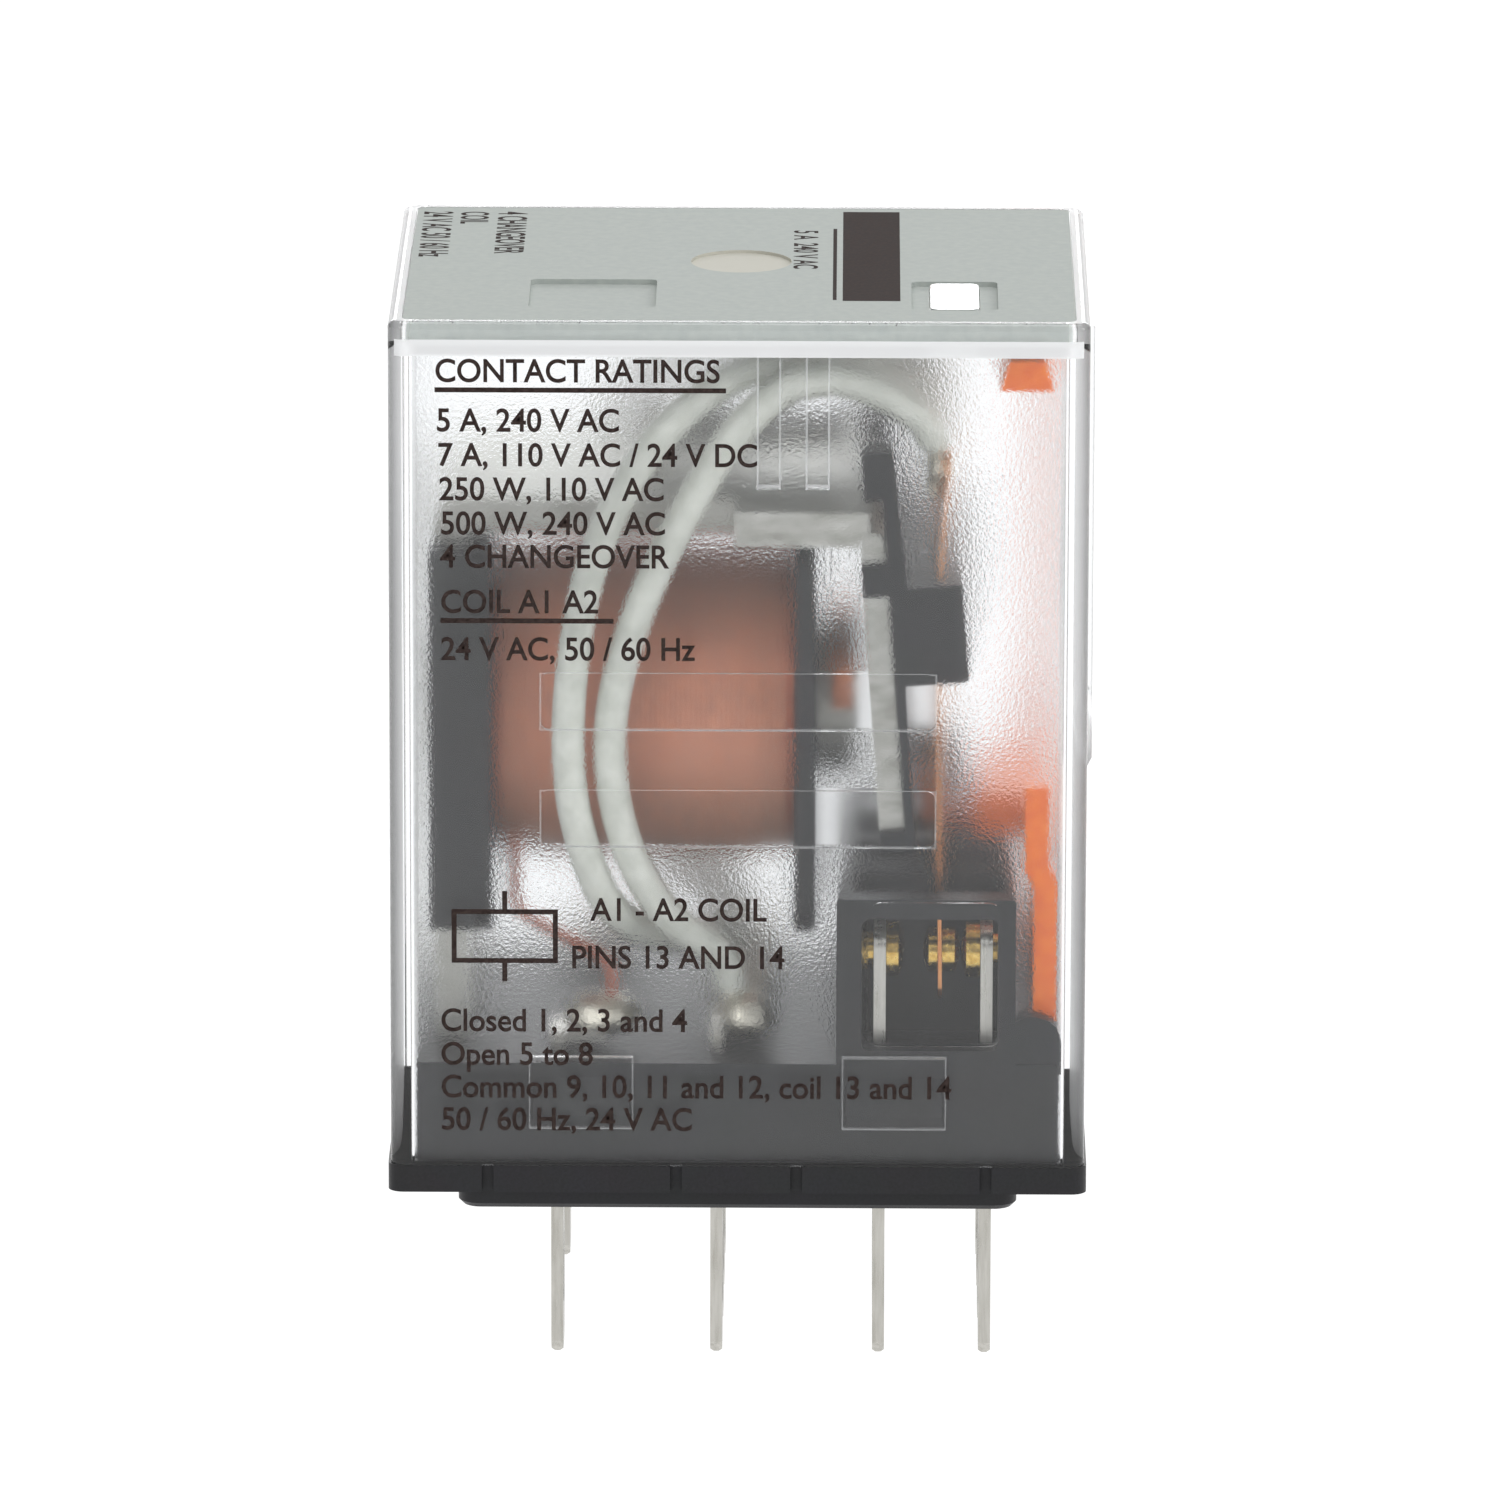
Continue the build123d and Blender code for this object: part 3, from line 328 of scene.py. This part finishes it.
# Shading ring: one bare copper stamping pressed into the pole's slot.
bare_copper, tree, shader = new_material("bare copper ring", "#c87a55", Metallic=1.0)
mottle(tree, shader, 0.3, "#a55c3d", "#d98e68", (0.22, 0.45), 0.01)
give(bare_copper, "shading_ring")

# ---------------------------------------------------------------------------
# Winding: enamelled copper wire, about 0.2 mm over the enamel, wound on the bobbin
# in level layers. Each turn stands as its own ridge, and the last layer stops short.
ENAMELLED_WIRE = 0.2
enamelled_copper, tree, shader = new_material(
    "enamelled copper wire", "#c9866a", Metallic=0.55, Coat_Weight=0.4, Coat_Roughness=0.25
)
mottle(tree, shader, 0.6, "#9e4224", "#c76c42", (0.28, 0.45), 0.004, (3, 1, 1))
give(enamelled_copper, "coil_lead_a1", "coil_lead_a2")

coil_low, coil_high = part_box("coil_winding")
coil_axis = (coil_low.z + coil_high.z) / 2
coil_radius = (coil_high.z - coil_low.z) / 2
turn_count = round((coil_high.x - coil_low.x) / (ENAMELLED_WIRE * MM))
TURN_POINTS, COIL_SIDES = 4, 72
RIDGE_DEPTH, LAYER_WANDER, TAPE_GAP = 0.07, 0.03, 0.03
SHORT_LAYER_START, SHORT_LAYER_END = 0.12, 0.9
mesh = bpy.data.meshes.new("winding")
points, faces = [], []
rings = turn_count * TURN_POINTS
for ring in range(rings + 1):
    along = ring / rings
    ridge = 0.5 + 0.5 * math.cos(2 * math.pi * ring / TURN_POINTS)
    full = SHORT_LAYER_START <= along <= SHORT_LAYER_END
    short_layer = 0 if full else ENAMELLED_WIRE * 0.8
    wander = LAYER_WANDER * noise.noise(Vector((along * 9, 0, 0)))
    sink = (RIDGE_DEPTH * (1 - ridge) + short_layer + wander) * MM
    for side in range(COIL_SIDES):
        angle = 2 * math.pi * side / COIL_SIDES
        radius = coil_radius - TAPE_GAP * MM - sink
        points.append(
            (
                coil_low.x + along * (coil_high.x - coil_low.x),
                math.sin(angle) * radius,
                coil_axis + math.cos(angle) * radius,
            )
        )
for ring in range(rings):
    for side in range(COIL_SIDES):
        after = (side + 1) % COIL_SIDES
        low, high = ring * COIL_SIDES, (ring + 1) * COIL_SIDES
        faces.append((low + side, low + after, high + after, high + side))
faces.append(list(range(COIL_SIDES))[::-1])
faces.append([rings * COIL_SIDES + side for side in range(COIL_SIDES)])
mesh.from_pydata(points, [], faces)
mesh.shade_smooth()
mesh.materials.append(enamelled_copper)
winding = bpy.data.objects.new("wound_coil", mesh)
scene.collection.objects.link(winding)
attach(winding, "housing")
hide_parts("coil_winding")

# Tape: clear polyester film over the winding, a few wrinkles where it overlaps.
clear_tape, tree, shader = new_material("clear polyester tape", "#f0c8a8", Alpha=0.08)
mottle(tree, shader, 1.6, "#eabf9c", "#f6d4b6", (0.12, 0.3), 0.06, (1, 1, 0.3))
give(clear_tape, "coil_tape")

# ---------------------------------------------------------------------------
# Contact leaves: one strip of rolled spring copper for each pole, clamped in the
# carrier, with a rounded tip riveted to the moving contact. The strip is built bent to its line.
spring_copper, tree, shader = new_material("rolled spring copper", "#c98a58", Metallic=1.0)
mottle(tree, shader, 0.25, "#b27346", "#d99c6b", (0.22, 0.38), 0.004, (1, 1, 0.08))

LEAF_THICKNESS, LEAF_HOLE = 0.15, 0.47
LEAF_STEP, CONTACT_STIFFENS = 0.4, 1.6
leaf_line = [(8.29, 30.4), (7.96, 25.9), (7.87, 20.87), (8.02, 8.13)]
contact_z = (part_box("moving_contact_1")[0].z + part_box("moving_contact_1")[1].z) / 2 / MM
leaf_width = (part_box("leaf_spring_1")[1].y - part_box("leaf_spring_1")[0].y) / MM


def leaf_x(height):
    """Give the leaf's X where its bent centreline passes a height, in mm."""
    for (x_a, z_a), (x_b, z_b) in zip(leaf_line, leaf_line[1:]):
        if height >= z_b or (x_b, z_b) == leaf_line[-1]:
            return x_a + (x_b - x_a) * (z_a - height) / (z_a - z_b)


def cut_leaf(name, column):
    """Cut the flat strip with its rivet hole, thicken it and bend it to its line."""
    half, tip = leaf_width / 2, leaf_line[-1][1]
    top, corner = leaf_line[0][1], 0.7
    rows = int((top - tip - corner) / LEAF_STEP)
    side = [(half, tip + corner + (top - tip - corner) * row / rows) for row in range(rows + 1)]
    turns = [math.radians(a) for a in range(15, 91, 15)]
    arc = [
        (half - corner + corner * math.cos(a), tip + corner - corner * math.sin(a)) for a in turns
    ]
    right = list(reversed(arc)) + side
    outline = right + [(-y, z) for y, z in reversed(right)]
    turns = [math.radians(a) for a in range(0, 360, 20)]
    hole = [(LEAF_HOLE * math.cos(a), contact_z + LEAF_HOLE * math.sin(a)) for a in turns]
    flat = bpy.data.curves.new(name, "CURVE")
    flat.dimensions, flat.fill_mode = "2D", "BOTH"
    flat.extrude = LEAF_THICKNESS / 2 * MM
    for loop in (outline, hole):
        spline = flat.splines.new("POLY")
        spline.points.add(len(loop) - 1)
        for point, (y, z) in zip(spline.points, loop):
            point.co = (y * MM, z * MM, 0, 1)
        spline.use_cyclic_u = True
    blank = bpy.data.objects.new(name, flat)
    scene.collection.objects.link(blank)
    bpy.context.view_layer.update()
    mesh = bpy.data.meshes.new_from_object(blank)
    bpy.data.objects.remove(blank)
    for vertex in mesh.vertices:
        across, height, thick = vertex.co
        vertex.co = (leaf_x(height / MM) * MM + thick, column * MM + across, height)
    mesh.materials.clear()
    mesh.materials.append(spring_copper)
    leaf = bpy.data.objects.new(name, mesh)
    scene.collection.objects.link(leaf)
    return leaf


for i, column in enumerate(pole_columns, start=1):
    leaf = cut_leaf(f"contact_leaf_{i}", column)
    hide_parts(f"leaf_tail_{i}", f"leaf_spring_{i}")
    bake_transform(leaf)
    place = (leaf_line[0][0] - 0.35, column, leaf_line[0][1] - 0.6)
    solder_joint(f"leaf_solder_{i}", place, (0.5, 0.9, 0.8), "armature", 0.25)

# ---------------------------------------------------------------------------
# Lead wires: stranded copper in soft off-white silicone, bent by hand from each
# leaf's tail over the coil to its common tab. The upper end moves with the armature.
white_silicone, tree, shader = new_material(
    "white silicone rubber",
    "#dcdfd8",
    Subsurface_Weight=0.15,
    Subsurface_Radius=(0.0006, 0.0006, 0.0005),
)
mottle(tree, shader, 0.7, "#c6c9c0", "#d9dbd3", (0.38, 0.52), 0.012)

WIRE_RADIUS, STRAND_RADIUS = 0.66, 0.3
upper_x, lower_x = 7.685, -0.29
outer_route = [
    (upper_x, 6.6, 30.5),
    (upper_x, 6.6, 31.5),
    (4.6, 6.9, 33.3),
    (2.2, 7.2, 33.4),
    (0.0, 7.9, 31.7),
    (-1.9, 8.5, 28.7),
    (-3.9, 8.6, 24.6),
    (-5.05, 8.6, 20.6),
    (-5.1, 8.6, 17.3),
    (-4.3, 8.6, 14.1),
    (-2.6, 8.5, 11.4),
    (lower_x, 6.6, 9.7),
    (lower_x, 6.6, 8.3),
]
inner_route = [
    (upper_x, 2.2, 30.5),
    (upper_x, 2.2, 31.6),
    (3.2, 4.6, 33.9),
    (-0.75, 7.2, 33.4),
    (-3.9, 8.6, 30.6),
    (-5.9, 8.8, 26.3),
    (-6.7, 8.8, 21.4),
    (-6.75, 8.8, 17.3),
    (-6.0, 8.8, 14.0),
    (-4.9, 8.6, 11.8),
    (-2.6, 4.6, 9.8),
    (lower_x, 2.2, 9.9),
    (lower_x, 2.2, 8.3),
]


def drawn_tube(name, route, radius, sides, order=3):
    """Draw a capped tube along a smooth line through a route given in mm."""
    line = bpy.data.curves.new(name, "CURVE")
    line.dimensions = "3D"
    line.bevel_depth, line.bevel_resolution = radius * MM, sides
    line.use_fill_caps = True
    line.resolution_u = 10
    spline = line.splines.new("NURBS")
    spline.points.add(len(route) - 1)
    for point, (x, y, z) in zip(spline.points, route):
        point.co = (x * MM, y * MM, z * MM, 1)
    spline.order_u = order
    spline.use_endpoint_u = True
    blank = bpy.data.objects.new(name, line)
    scene.collection.objects.link(blank)
    bpy.context.view_layer.update()
    mesh = bpy.data.meshes.new_from_object(blank)
    bpy.data.objects.remove(blank)
    mesh.materials.clear()
    mesh.shade_smooth()
    tube = bpy.data.objects.new(name, mesh)
    scene.collection.objects.link(tube)
    return tube


for i, (side, route) in enumerate(
    [(-1, outer_route), (-1, inner_route), (1, inner_route), (1, outer_route)], start=1
):
    path = [(x, side * y, z) for x, y, z in route]
    insulation = drawn_tube(f"lead_wire_insulation_{i}", path, WIRE_RADIUS, 6)
    insulation.data.materials.append(white_silicone)
    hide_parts(f"lead_wire_{i}")
    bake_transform(insulation)
    ends = [("upper", "armature", path[0], 1.9), ("lower", "housing", path[-1], 1.3)]
    for end, body, (x, y, z), drop in ends:
        strand = [(x, y, z + 0.2), (x, y, z - drop / 2), (x, y, z - drop)]
        bare_end = drawn_tube(f"bare_strand_{end}_{i}", strand, STRAND_RADIUS, 4)
        bare_end.data.materials.append(solder)
        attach(bare_end, body)

# ---------------------------------------------------------------------------
# Return spring: bright spring wire, close wound, with a half-loop hook at each end,
# hung between the yoke's fork and the carrier's tail.
spring_wire, tree, shader = new_material("bright spring wire", "#b8b8b6", Metallic=1.0)
mottle(tree, shader, 0.2, "#a2a29f", "#cfcfcc", (0.18, 0.34), 0.003)

SPRING_COILS, SPRING_WIRE, SPRING_MEAN = 26, 0.13, 0.7
HOOK_RUN = 0.45
spring_low, spring_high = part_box("return_spring")
spring_z = (spring_low.z + spring_high.z) / 2 / MM
coil_start = spring_low.x / MM + HOOK_RUN + SPRING_MEAN + SPRING_WIRE
coil_end = spring_high.x / MM - HOOK_RUN - SPRING_MEAN - SPRING_WIRE
helix = []
STEPS = 14
for step in range(SPRING_COILS * STEPS + 1):
    angle = 2 * math.pi * step / STEPS
    x = coil_start + (coil_end - coil_start) * step / (SPRING_COILS * STEPS)
    helix.append((x, math.sin(angle) * SPRING_MEAN, spring_z + math.cos(angle) * SPRING_MEAN))


def hook(centre_x, way):
    """Give a half-loop of wire that leaves the top of the coils in the X-Z plane."""
    return [
        (
            centre_x + way * math.sin(math.radians(a)) * SPRING_MEAN,
            0,
            spring_z + math.cos(math.radians(a)) * SPRING_MEAN,
        )
        for a in range(0, 181, 20)
    ]


spring_route = hook(coil_start - HOOK_RUN, -1)[::-1] + helix + hook(coil_end + HOOK_RUN, 1)
spring = drawn_tube("wound_return_spring", spring_route, SPRING_WIRE, 2)
spring.data.materials.append(spring_wire)
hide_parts("return_spring")
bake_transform(spring)

# ---------------------------------------------------------------------------
# Indicator lever: polyester moulded in signal orange, with the soft gloss of a
# small polished mould. Thin edges let some light through.
orange, tree, shader = new_material(
    "moulded orange polyester",
    "#ef7d26",
    Subsurface_Weight=0.2,
    Subsurface_Radius=(0.001, 0.0004, 0.0002),
)
mottle(tree, shader, 0.35, "#df620e", "#ee7c1e", (0.3, 0.46), 0.006)
give(orange, "indicator_flag")

# ---------------------------------------------------------------------------
# Cover: clear polycarbonate, one moulding, glossy outside. Inside, the front and back
# are finely hammered, so what is close behind stays sharp and what is deep goes soft.
# The two label frames and the window at the contacts are polished. The moulded
# edges of the frames, ribs and snap pockets are drawn less clear, as a painted highlight for the light
# they catch.
clear_cover, tree, shader = new_material(
    "moulded clear polycarbonate", "#fbfcfd", Transmission_Weight=1.0, IOR=1.46
)
place = add_node(tree, "ShaderNodeTexCoord")
apart = add_node(tree, "ShaderNodeSeparateXYZ", links={"Vector": place.outputs["Object"]})


def beyond(source, limit):
    """Give 1 where a length is more than a limit in mm, and 0 elsewhere."""
    return add_node(
        tree, "ShaderNodeMath", {"operation": "GREATER_THAN"}, {1: limit * MM}, {0: source}
    ).outputs[0]


def combine(operation, first, second):
    """Join two masks with a maths operation."""
    return add_node(
        tree, "ShaderNodeMath", {"operation": operation}, links={0: first, 1: second}
    ).outputs[0]


def absolute(source):
    """Give a length without its sign."""
    return add_node(tree, "ShaderNodeMath", {"operation": "ABSOLUTE"}, links={0: source}).outputs[0]


def shifted(source, middle):
    """Give the distance of a coordinate from a middle given in mm."""
    offset = add_node(
        tree, "ShaderNodeMath", {"operation": "SUBTRACT"}, {1: middle * MM}, {0: source}
    )
    return absolute(offset.outputs[0])


def outside(middle_x, half_width, middle_z, half_height):
    """Give 1 outside one rectangle on the front wall, and 0 inside it."""
    past_x = beyond(shifted(apart.outputs["X"], middle_x), half_width)
    past_z = beyond(shifted(apart.outputs["Z"], middle_z), half_height)
    return combine("MAXIMUM", past_x, past_z)


def edge_line(middle_x, half_width, middle_z, half_height):
    """Give 1 on the narrow rounded edge of one rectangle, and 0 elsewhere."""
    within = outside(middle_x, half_width - EDGE_WIDTH, middle_z, half_height - EDGE_WIDTH)
    return combine("GREATER_THAN", within, outside(middle_x, half_width, middle_z, half_height))


def ranged(source, low, high):
    """Turn a mask into a value that is low where the mask is 0 and high where it is 1."""
    return add_node(
        tree, "ShaderNodeMapRange", values={"To Min": low, "To Max": high}, links={"Value": source}
    ).outputs["Result"]


EDGE_WIDTH = 0.07
depth, height = absolute(apart.outputs["Y"]), apart.outputs["Z"]
sideways = absolute(apart.outputs["X"])
outer_skin = beyond(depth, 10.3)
inner_skin = combine("GREATER_THAN", beyond(depth, 9.75), outer_skin)
rib_face = combine("GREATER_THAN", beyond(depth, 8.85), beyond(depth, 8.95))
side_skin = combine("GREATER_THAN", beyond(sideways, 12.9), beyond(sideways, 13.4))
side_skin = combine("GREATER_THAN", side_skin, outer_skin)
hammered = combine("GREATER_THAN", combine("MAXIMUM", inner_skin, rib_face), beyond(sideways, 12.8))
on_back = beyond(apart.outputs["Y"], 0)
past_window = combine("MAXIMUM", outside(7.78, 2.62, 9.93, 2.95), on_back)
hammered = combine("MULTIPLY", hammered, past_window)
roughness = combine("MAXIMUM", ranged(hammered, 0.04, 0.25), ranged(side_skin, 0.04, 0.3))
# Painted highlight: the narrow edges of the ribs, snap pockets and label frames are made less clear,
# so they show as pale lines.
rib_edges = combine("MAXIMUM", edge_line(1.17, 0.47, 32.4, 2.9), edge_line(3.09, 0.47, 32.4, 2.9))
painted_edge_highlight = combine("MULTIPLY", rib_edges, rib_face)
for pocket_x in (-6.2, 6.2):
    pocket = combine("GREATER_THAN", edge_line(pocket_x, 2.08, 4.93, 1.5), outer_skin)
    painted_edge_highlight = combine("MAXIMUM", painted_edge_highlight, ranged(pocket, 0.0, 0.35))
for label_z in (16.26, 21.02):
    past_label = combine("MAXIMUM", outside(0, 7.8, label_z, 1.16), on_back)
    hammered = combine("MULTIPLY", hammered, past_label)
    frame_edge = combine("MULTIPLY", edge_line(0, 7.82, label_z, 1.18), outer_skin)
    frame_edge = combine("GREATER_THAN", frame_edge, on_back)
    painted_edge_highlight = combine("MAXIMUM", painted_edge_highlight, ranged(frame_edge, 0.0, 0.45))
# The hammer marks are about 0.14 mm across and give the wall its fine sparkle.
sparkle = add_node(
    tree,
    "ShaderNodeTexNoise",
    values={"Scale": per_mm(0.14), "Detail": 2.0, "Roughness": 0.6},
    links={"Vector": place.outputs["Object"]},
)
skin = add_node(
    tree,
    "ShaderNodeBump",
    values={"Distance": 0.035 * MM},
    links={"Height": sparkle.outputs["Fac"], "Strength": hammered},
)
# Painted highlight: along the top rim of the front and back walls, where the plate sits in its pocket,
# the moulding is drawn mostly opaque white.
painted_rim_highlight = combine("MULTIPLY", beyond(depth, 10.5), beyond(height, 34.95))
painted_rim_highlight = combine("GREATER_THAN", painted_rim_highlight, beyond(height, 35.62))
clearness = combine("MINIMUM", ranged(painted_rim_highlight, 1.0, 0.15), ranged(painted_edge_highlight, 1.0, 0.5))
tree.links.new(roughness, shader.inputs["Roughness"])
tree.links.new(skin.outputs["Normal"], shader.inputs["Normal"])
tree.links.new(clearness, shader.inputs["Transmission Weight"])
give(clear_cover, "cover")
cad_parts["cover"].visible_shadow = False

# ---------------------------------------------------------------------------
# Top plate: opaque grey-green sheet let into the cover, calendered to a matt face.
# The round dimple at its middle, left by the moulding gate, is creamier.
plate_grey, tree, shader = new_material(
    "matt grey printed plate", "#c1c8c5", Specular_IOR_Level=0.1
)
place, shade = mottle(tree, shader, 0.35, "#bcc2be", "#c6cbc6", (0.6, 0.75), 0.008)
dimple_middle = add_node(
    tree,
    "ShaderNodeMapping",
    values={"Location": (0, -0.4 * MM, 0), "Scale": (1, 1, 0)},
    links={"Vector": place.outputs["Object"]},
)
reach = add_node(
    tree, "ShaderNodeVectorMath", {"operation": "LENGTH"}, links={0: dimple_middle.outputs["Vector"]}
)
in_dimple = add_node(
    tree, "ShaderNodeMath", {"operation": "LESS_THAN"}, {1: 2.01 * MM}, {0: reach.outputs["Value"]}
)
creamy = add_node(
    tree,
    "ShaderNodeMix",
    {"data_type": "RGBA"},
    {"B": linear("#d6d4c9")},
    {"Factor": in_dimple.outputs[0], "A": shade.outputs["Color"]},
)
tree.links.new(creamy.outputs["Result"], shader.inputs["Base Color"])
give(plate_grey, "top_plate")

# ---------------------------------------------------------------------------
# Printing: pad-printed dark brown ink, thin enough that the hammered skin breaks
# it up. It gives pin numbers, units and a plain coil and contact sketch.
print_ink, tree, shader = new_material("pad printed ink", "#3a302e", Specular_IOR_Level=0.05)
mottle(tree, shader, 0.12, "#2a211f", "#473c39", (0.6, 0.8), 0.003)

PRINT_LIFT, CAP_HEIGHT = 0.004, 0.92
CONDENSED, LETTER_WEIGHT = 0.92, 0.016
CAPITAL_SHARE = 0.703
front_face = cad_box[0][1] - PRINT_LIFT * MM
top_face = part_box("top_plate")[1].z + PRINT_LIFT * MM


def lay_on_face(face, across, up):
    """Give the point at two distances in mm on the front face or on the top plate."""
    if face == "front":
        return Vector((across * MM, front_face, up * MM))
    return Vector((up * MM, -across * MM, top_face))


def finish_print(name, mesh):
    """Ink one printed mesh and fix it to the housing."""
    mesh.materials.clear()
    mesh.materials.append(print_ink)
    printed = bpy.data.objects.new(name, mesh)
    scene.collection.objects.link(printed)
    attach(printed, "housing")


def print_words(name, words, left, baseline, face, cap_height=CAP_HEIGHT, condensed=CONDENSED):
    """Print one line of words from its left end, on the front or along the top."""
    letters = bpy.data.curves.new(name, "FONT")
    letters.body, letters.offset = words, LETTER_WEIGHT
    text = bpy.data.objects.new(name, letters)
    scene.collection.objects.link(text)
    bpy.context.view_layer.update()
    mesh = bpy.data.meshes.new_from_object(text)
    bpy.data.objects.remove(text)
    size = cap_height / CAPITAL_SHARE
    for vertex in mesh.vertices:
        x, y, _ = vertex.co
        vertex.co = lay_on_face(face, left + x * size * condensed, baseline + y * size)
    finish_print(name, mesh)


def print_bars(name, bars, face):
    """Print filled bars, each given by two opposite corners in mm."""
    points, faces = [], []
    for a, b, c, d in bars:
        start = len(points)
        points += [lay_on_face(face, x, z) for x, z in ((a, b), (c, b), (c, d), (a, d))]
        faces.append((start, start + 1, start + 2, start + 3))
    mesh = bpy.data.meshes.new(name)
    mesh.from_pydata(points, [], faces)
    finish_print(name, mesh)


front_lines = [
    ("contact_heading", "CONTACT RATINGS", -11.9, 33.94),
    ("contact_line_1", "5 A, 240 V AC", -11.85, 31.95),
    ("contact_line_2", "7 A, 110 V AC / 24 V DC", -11.8, 30.56),
    ("contact_line_3", "250 W, 110 V AC", -11.75, 29.18),
    ("contact_line_4", "500 W, 240 V AC", -11.7, 27.8),
    ("contact_line_5", "4 CHANGEOVER", -11.7, 26.46),
    ("coil_heading", "COIL A1 A2", -11.7, 24.63),
    ("coil_line", "24 V AC, 50 / 60 Hz", -11.7, 22.72),
    ("sketch_line_1", "A1 - A2 COIL", -5.8, 12.11),
    ("sketch_line_2", "PINS 13 AND 14", -6.6, 10.16),
    ("pin_line_1", "Closed 1, 2, 3 and 4", -11.75, 7.56),
    ("pin_line_2", "Open 5 to 8", -11.75, 6.18),
    ("pin_line_3", "Common 9, 10, 11 and 12, coil 13 and 14", -11.75, 4.83),
    ("pin_line_4", "50 / 60 Hz, 24 V AC", -11.75, 3.49),
]
for name, words, left, baseline in front_lines:
    print_words(name, words, left, baseline, "front")
print_bars("heading_rules", [(-11.9, 33.51, -0.5, 33.71), (-11.7, 24.2, -4.9, 24.4)], "front")
print_bars(
    "coil_sketch",
    [
        (-11.3, 10.35, -11.1, 12.55),
        (-11.1, 12.35, -7.3, 12.55),
        (-7.3, 10.35, -7.1, 12.55),
        (-11.1, 10.35, -7.3, 10.55),
        (-9.3, 12.55, -9.1, 13.3),
        (-9.3, 9.6, -9.1, 10.35),
    ],
    "front",
)

top_lines = [
    ("top_line_1", "24 V AC 50 / 60 Hz", -12.85, 1.15),
    ("top_line_2", "COIL", -11.35, 1.1),
    ("top_line_3", "4 CHANGEOVER", -9.85, 1.15),
]
for name, words, baseline, cap_height in top_lines:
    print_words(name, words, -9.2, baseline, "top", cap_height, 0.62)
print_bars("top_label_bar", [(-9.4, 4.04, 6.55, 6.31)], "top")
print_bars("top_rule", [(-6.3, 3.65, 6.4, 3.8)], "top")
print_words("top_poles", "5 A  240 V AC", -6.0, 2.1, "top", 0.95, 0.85)
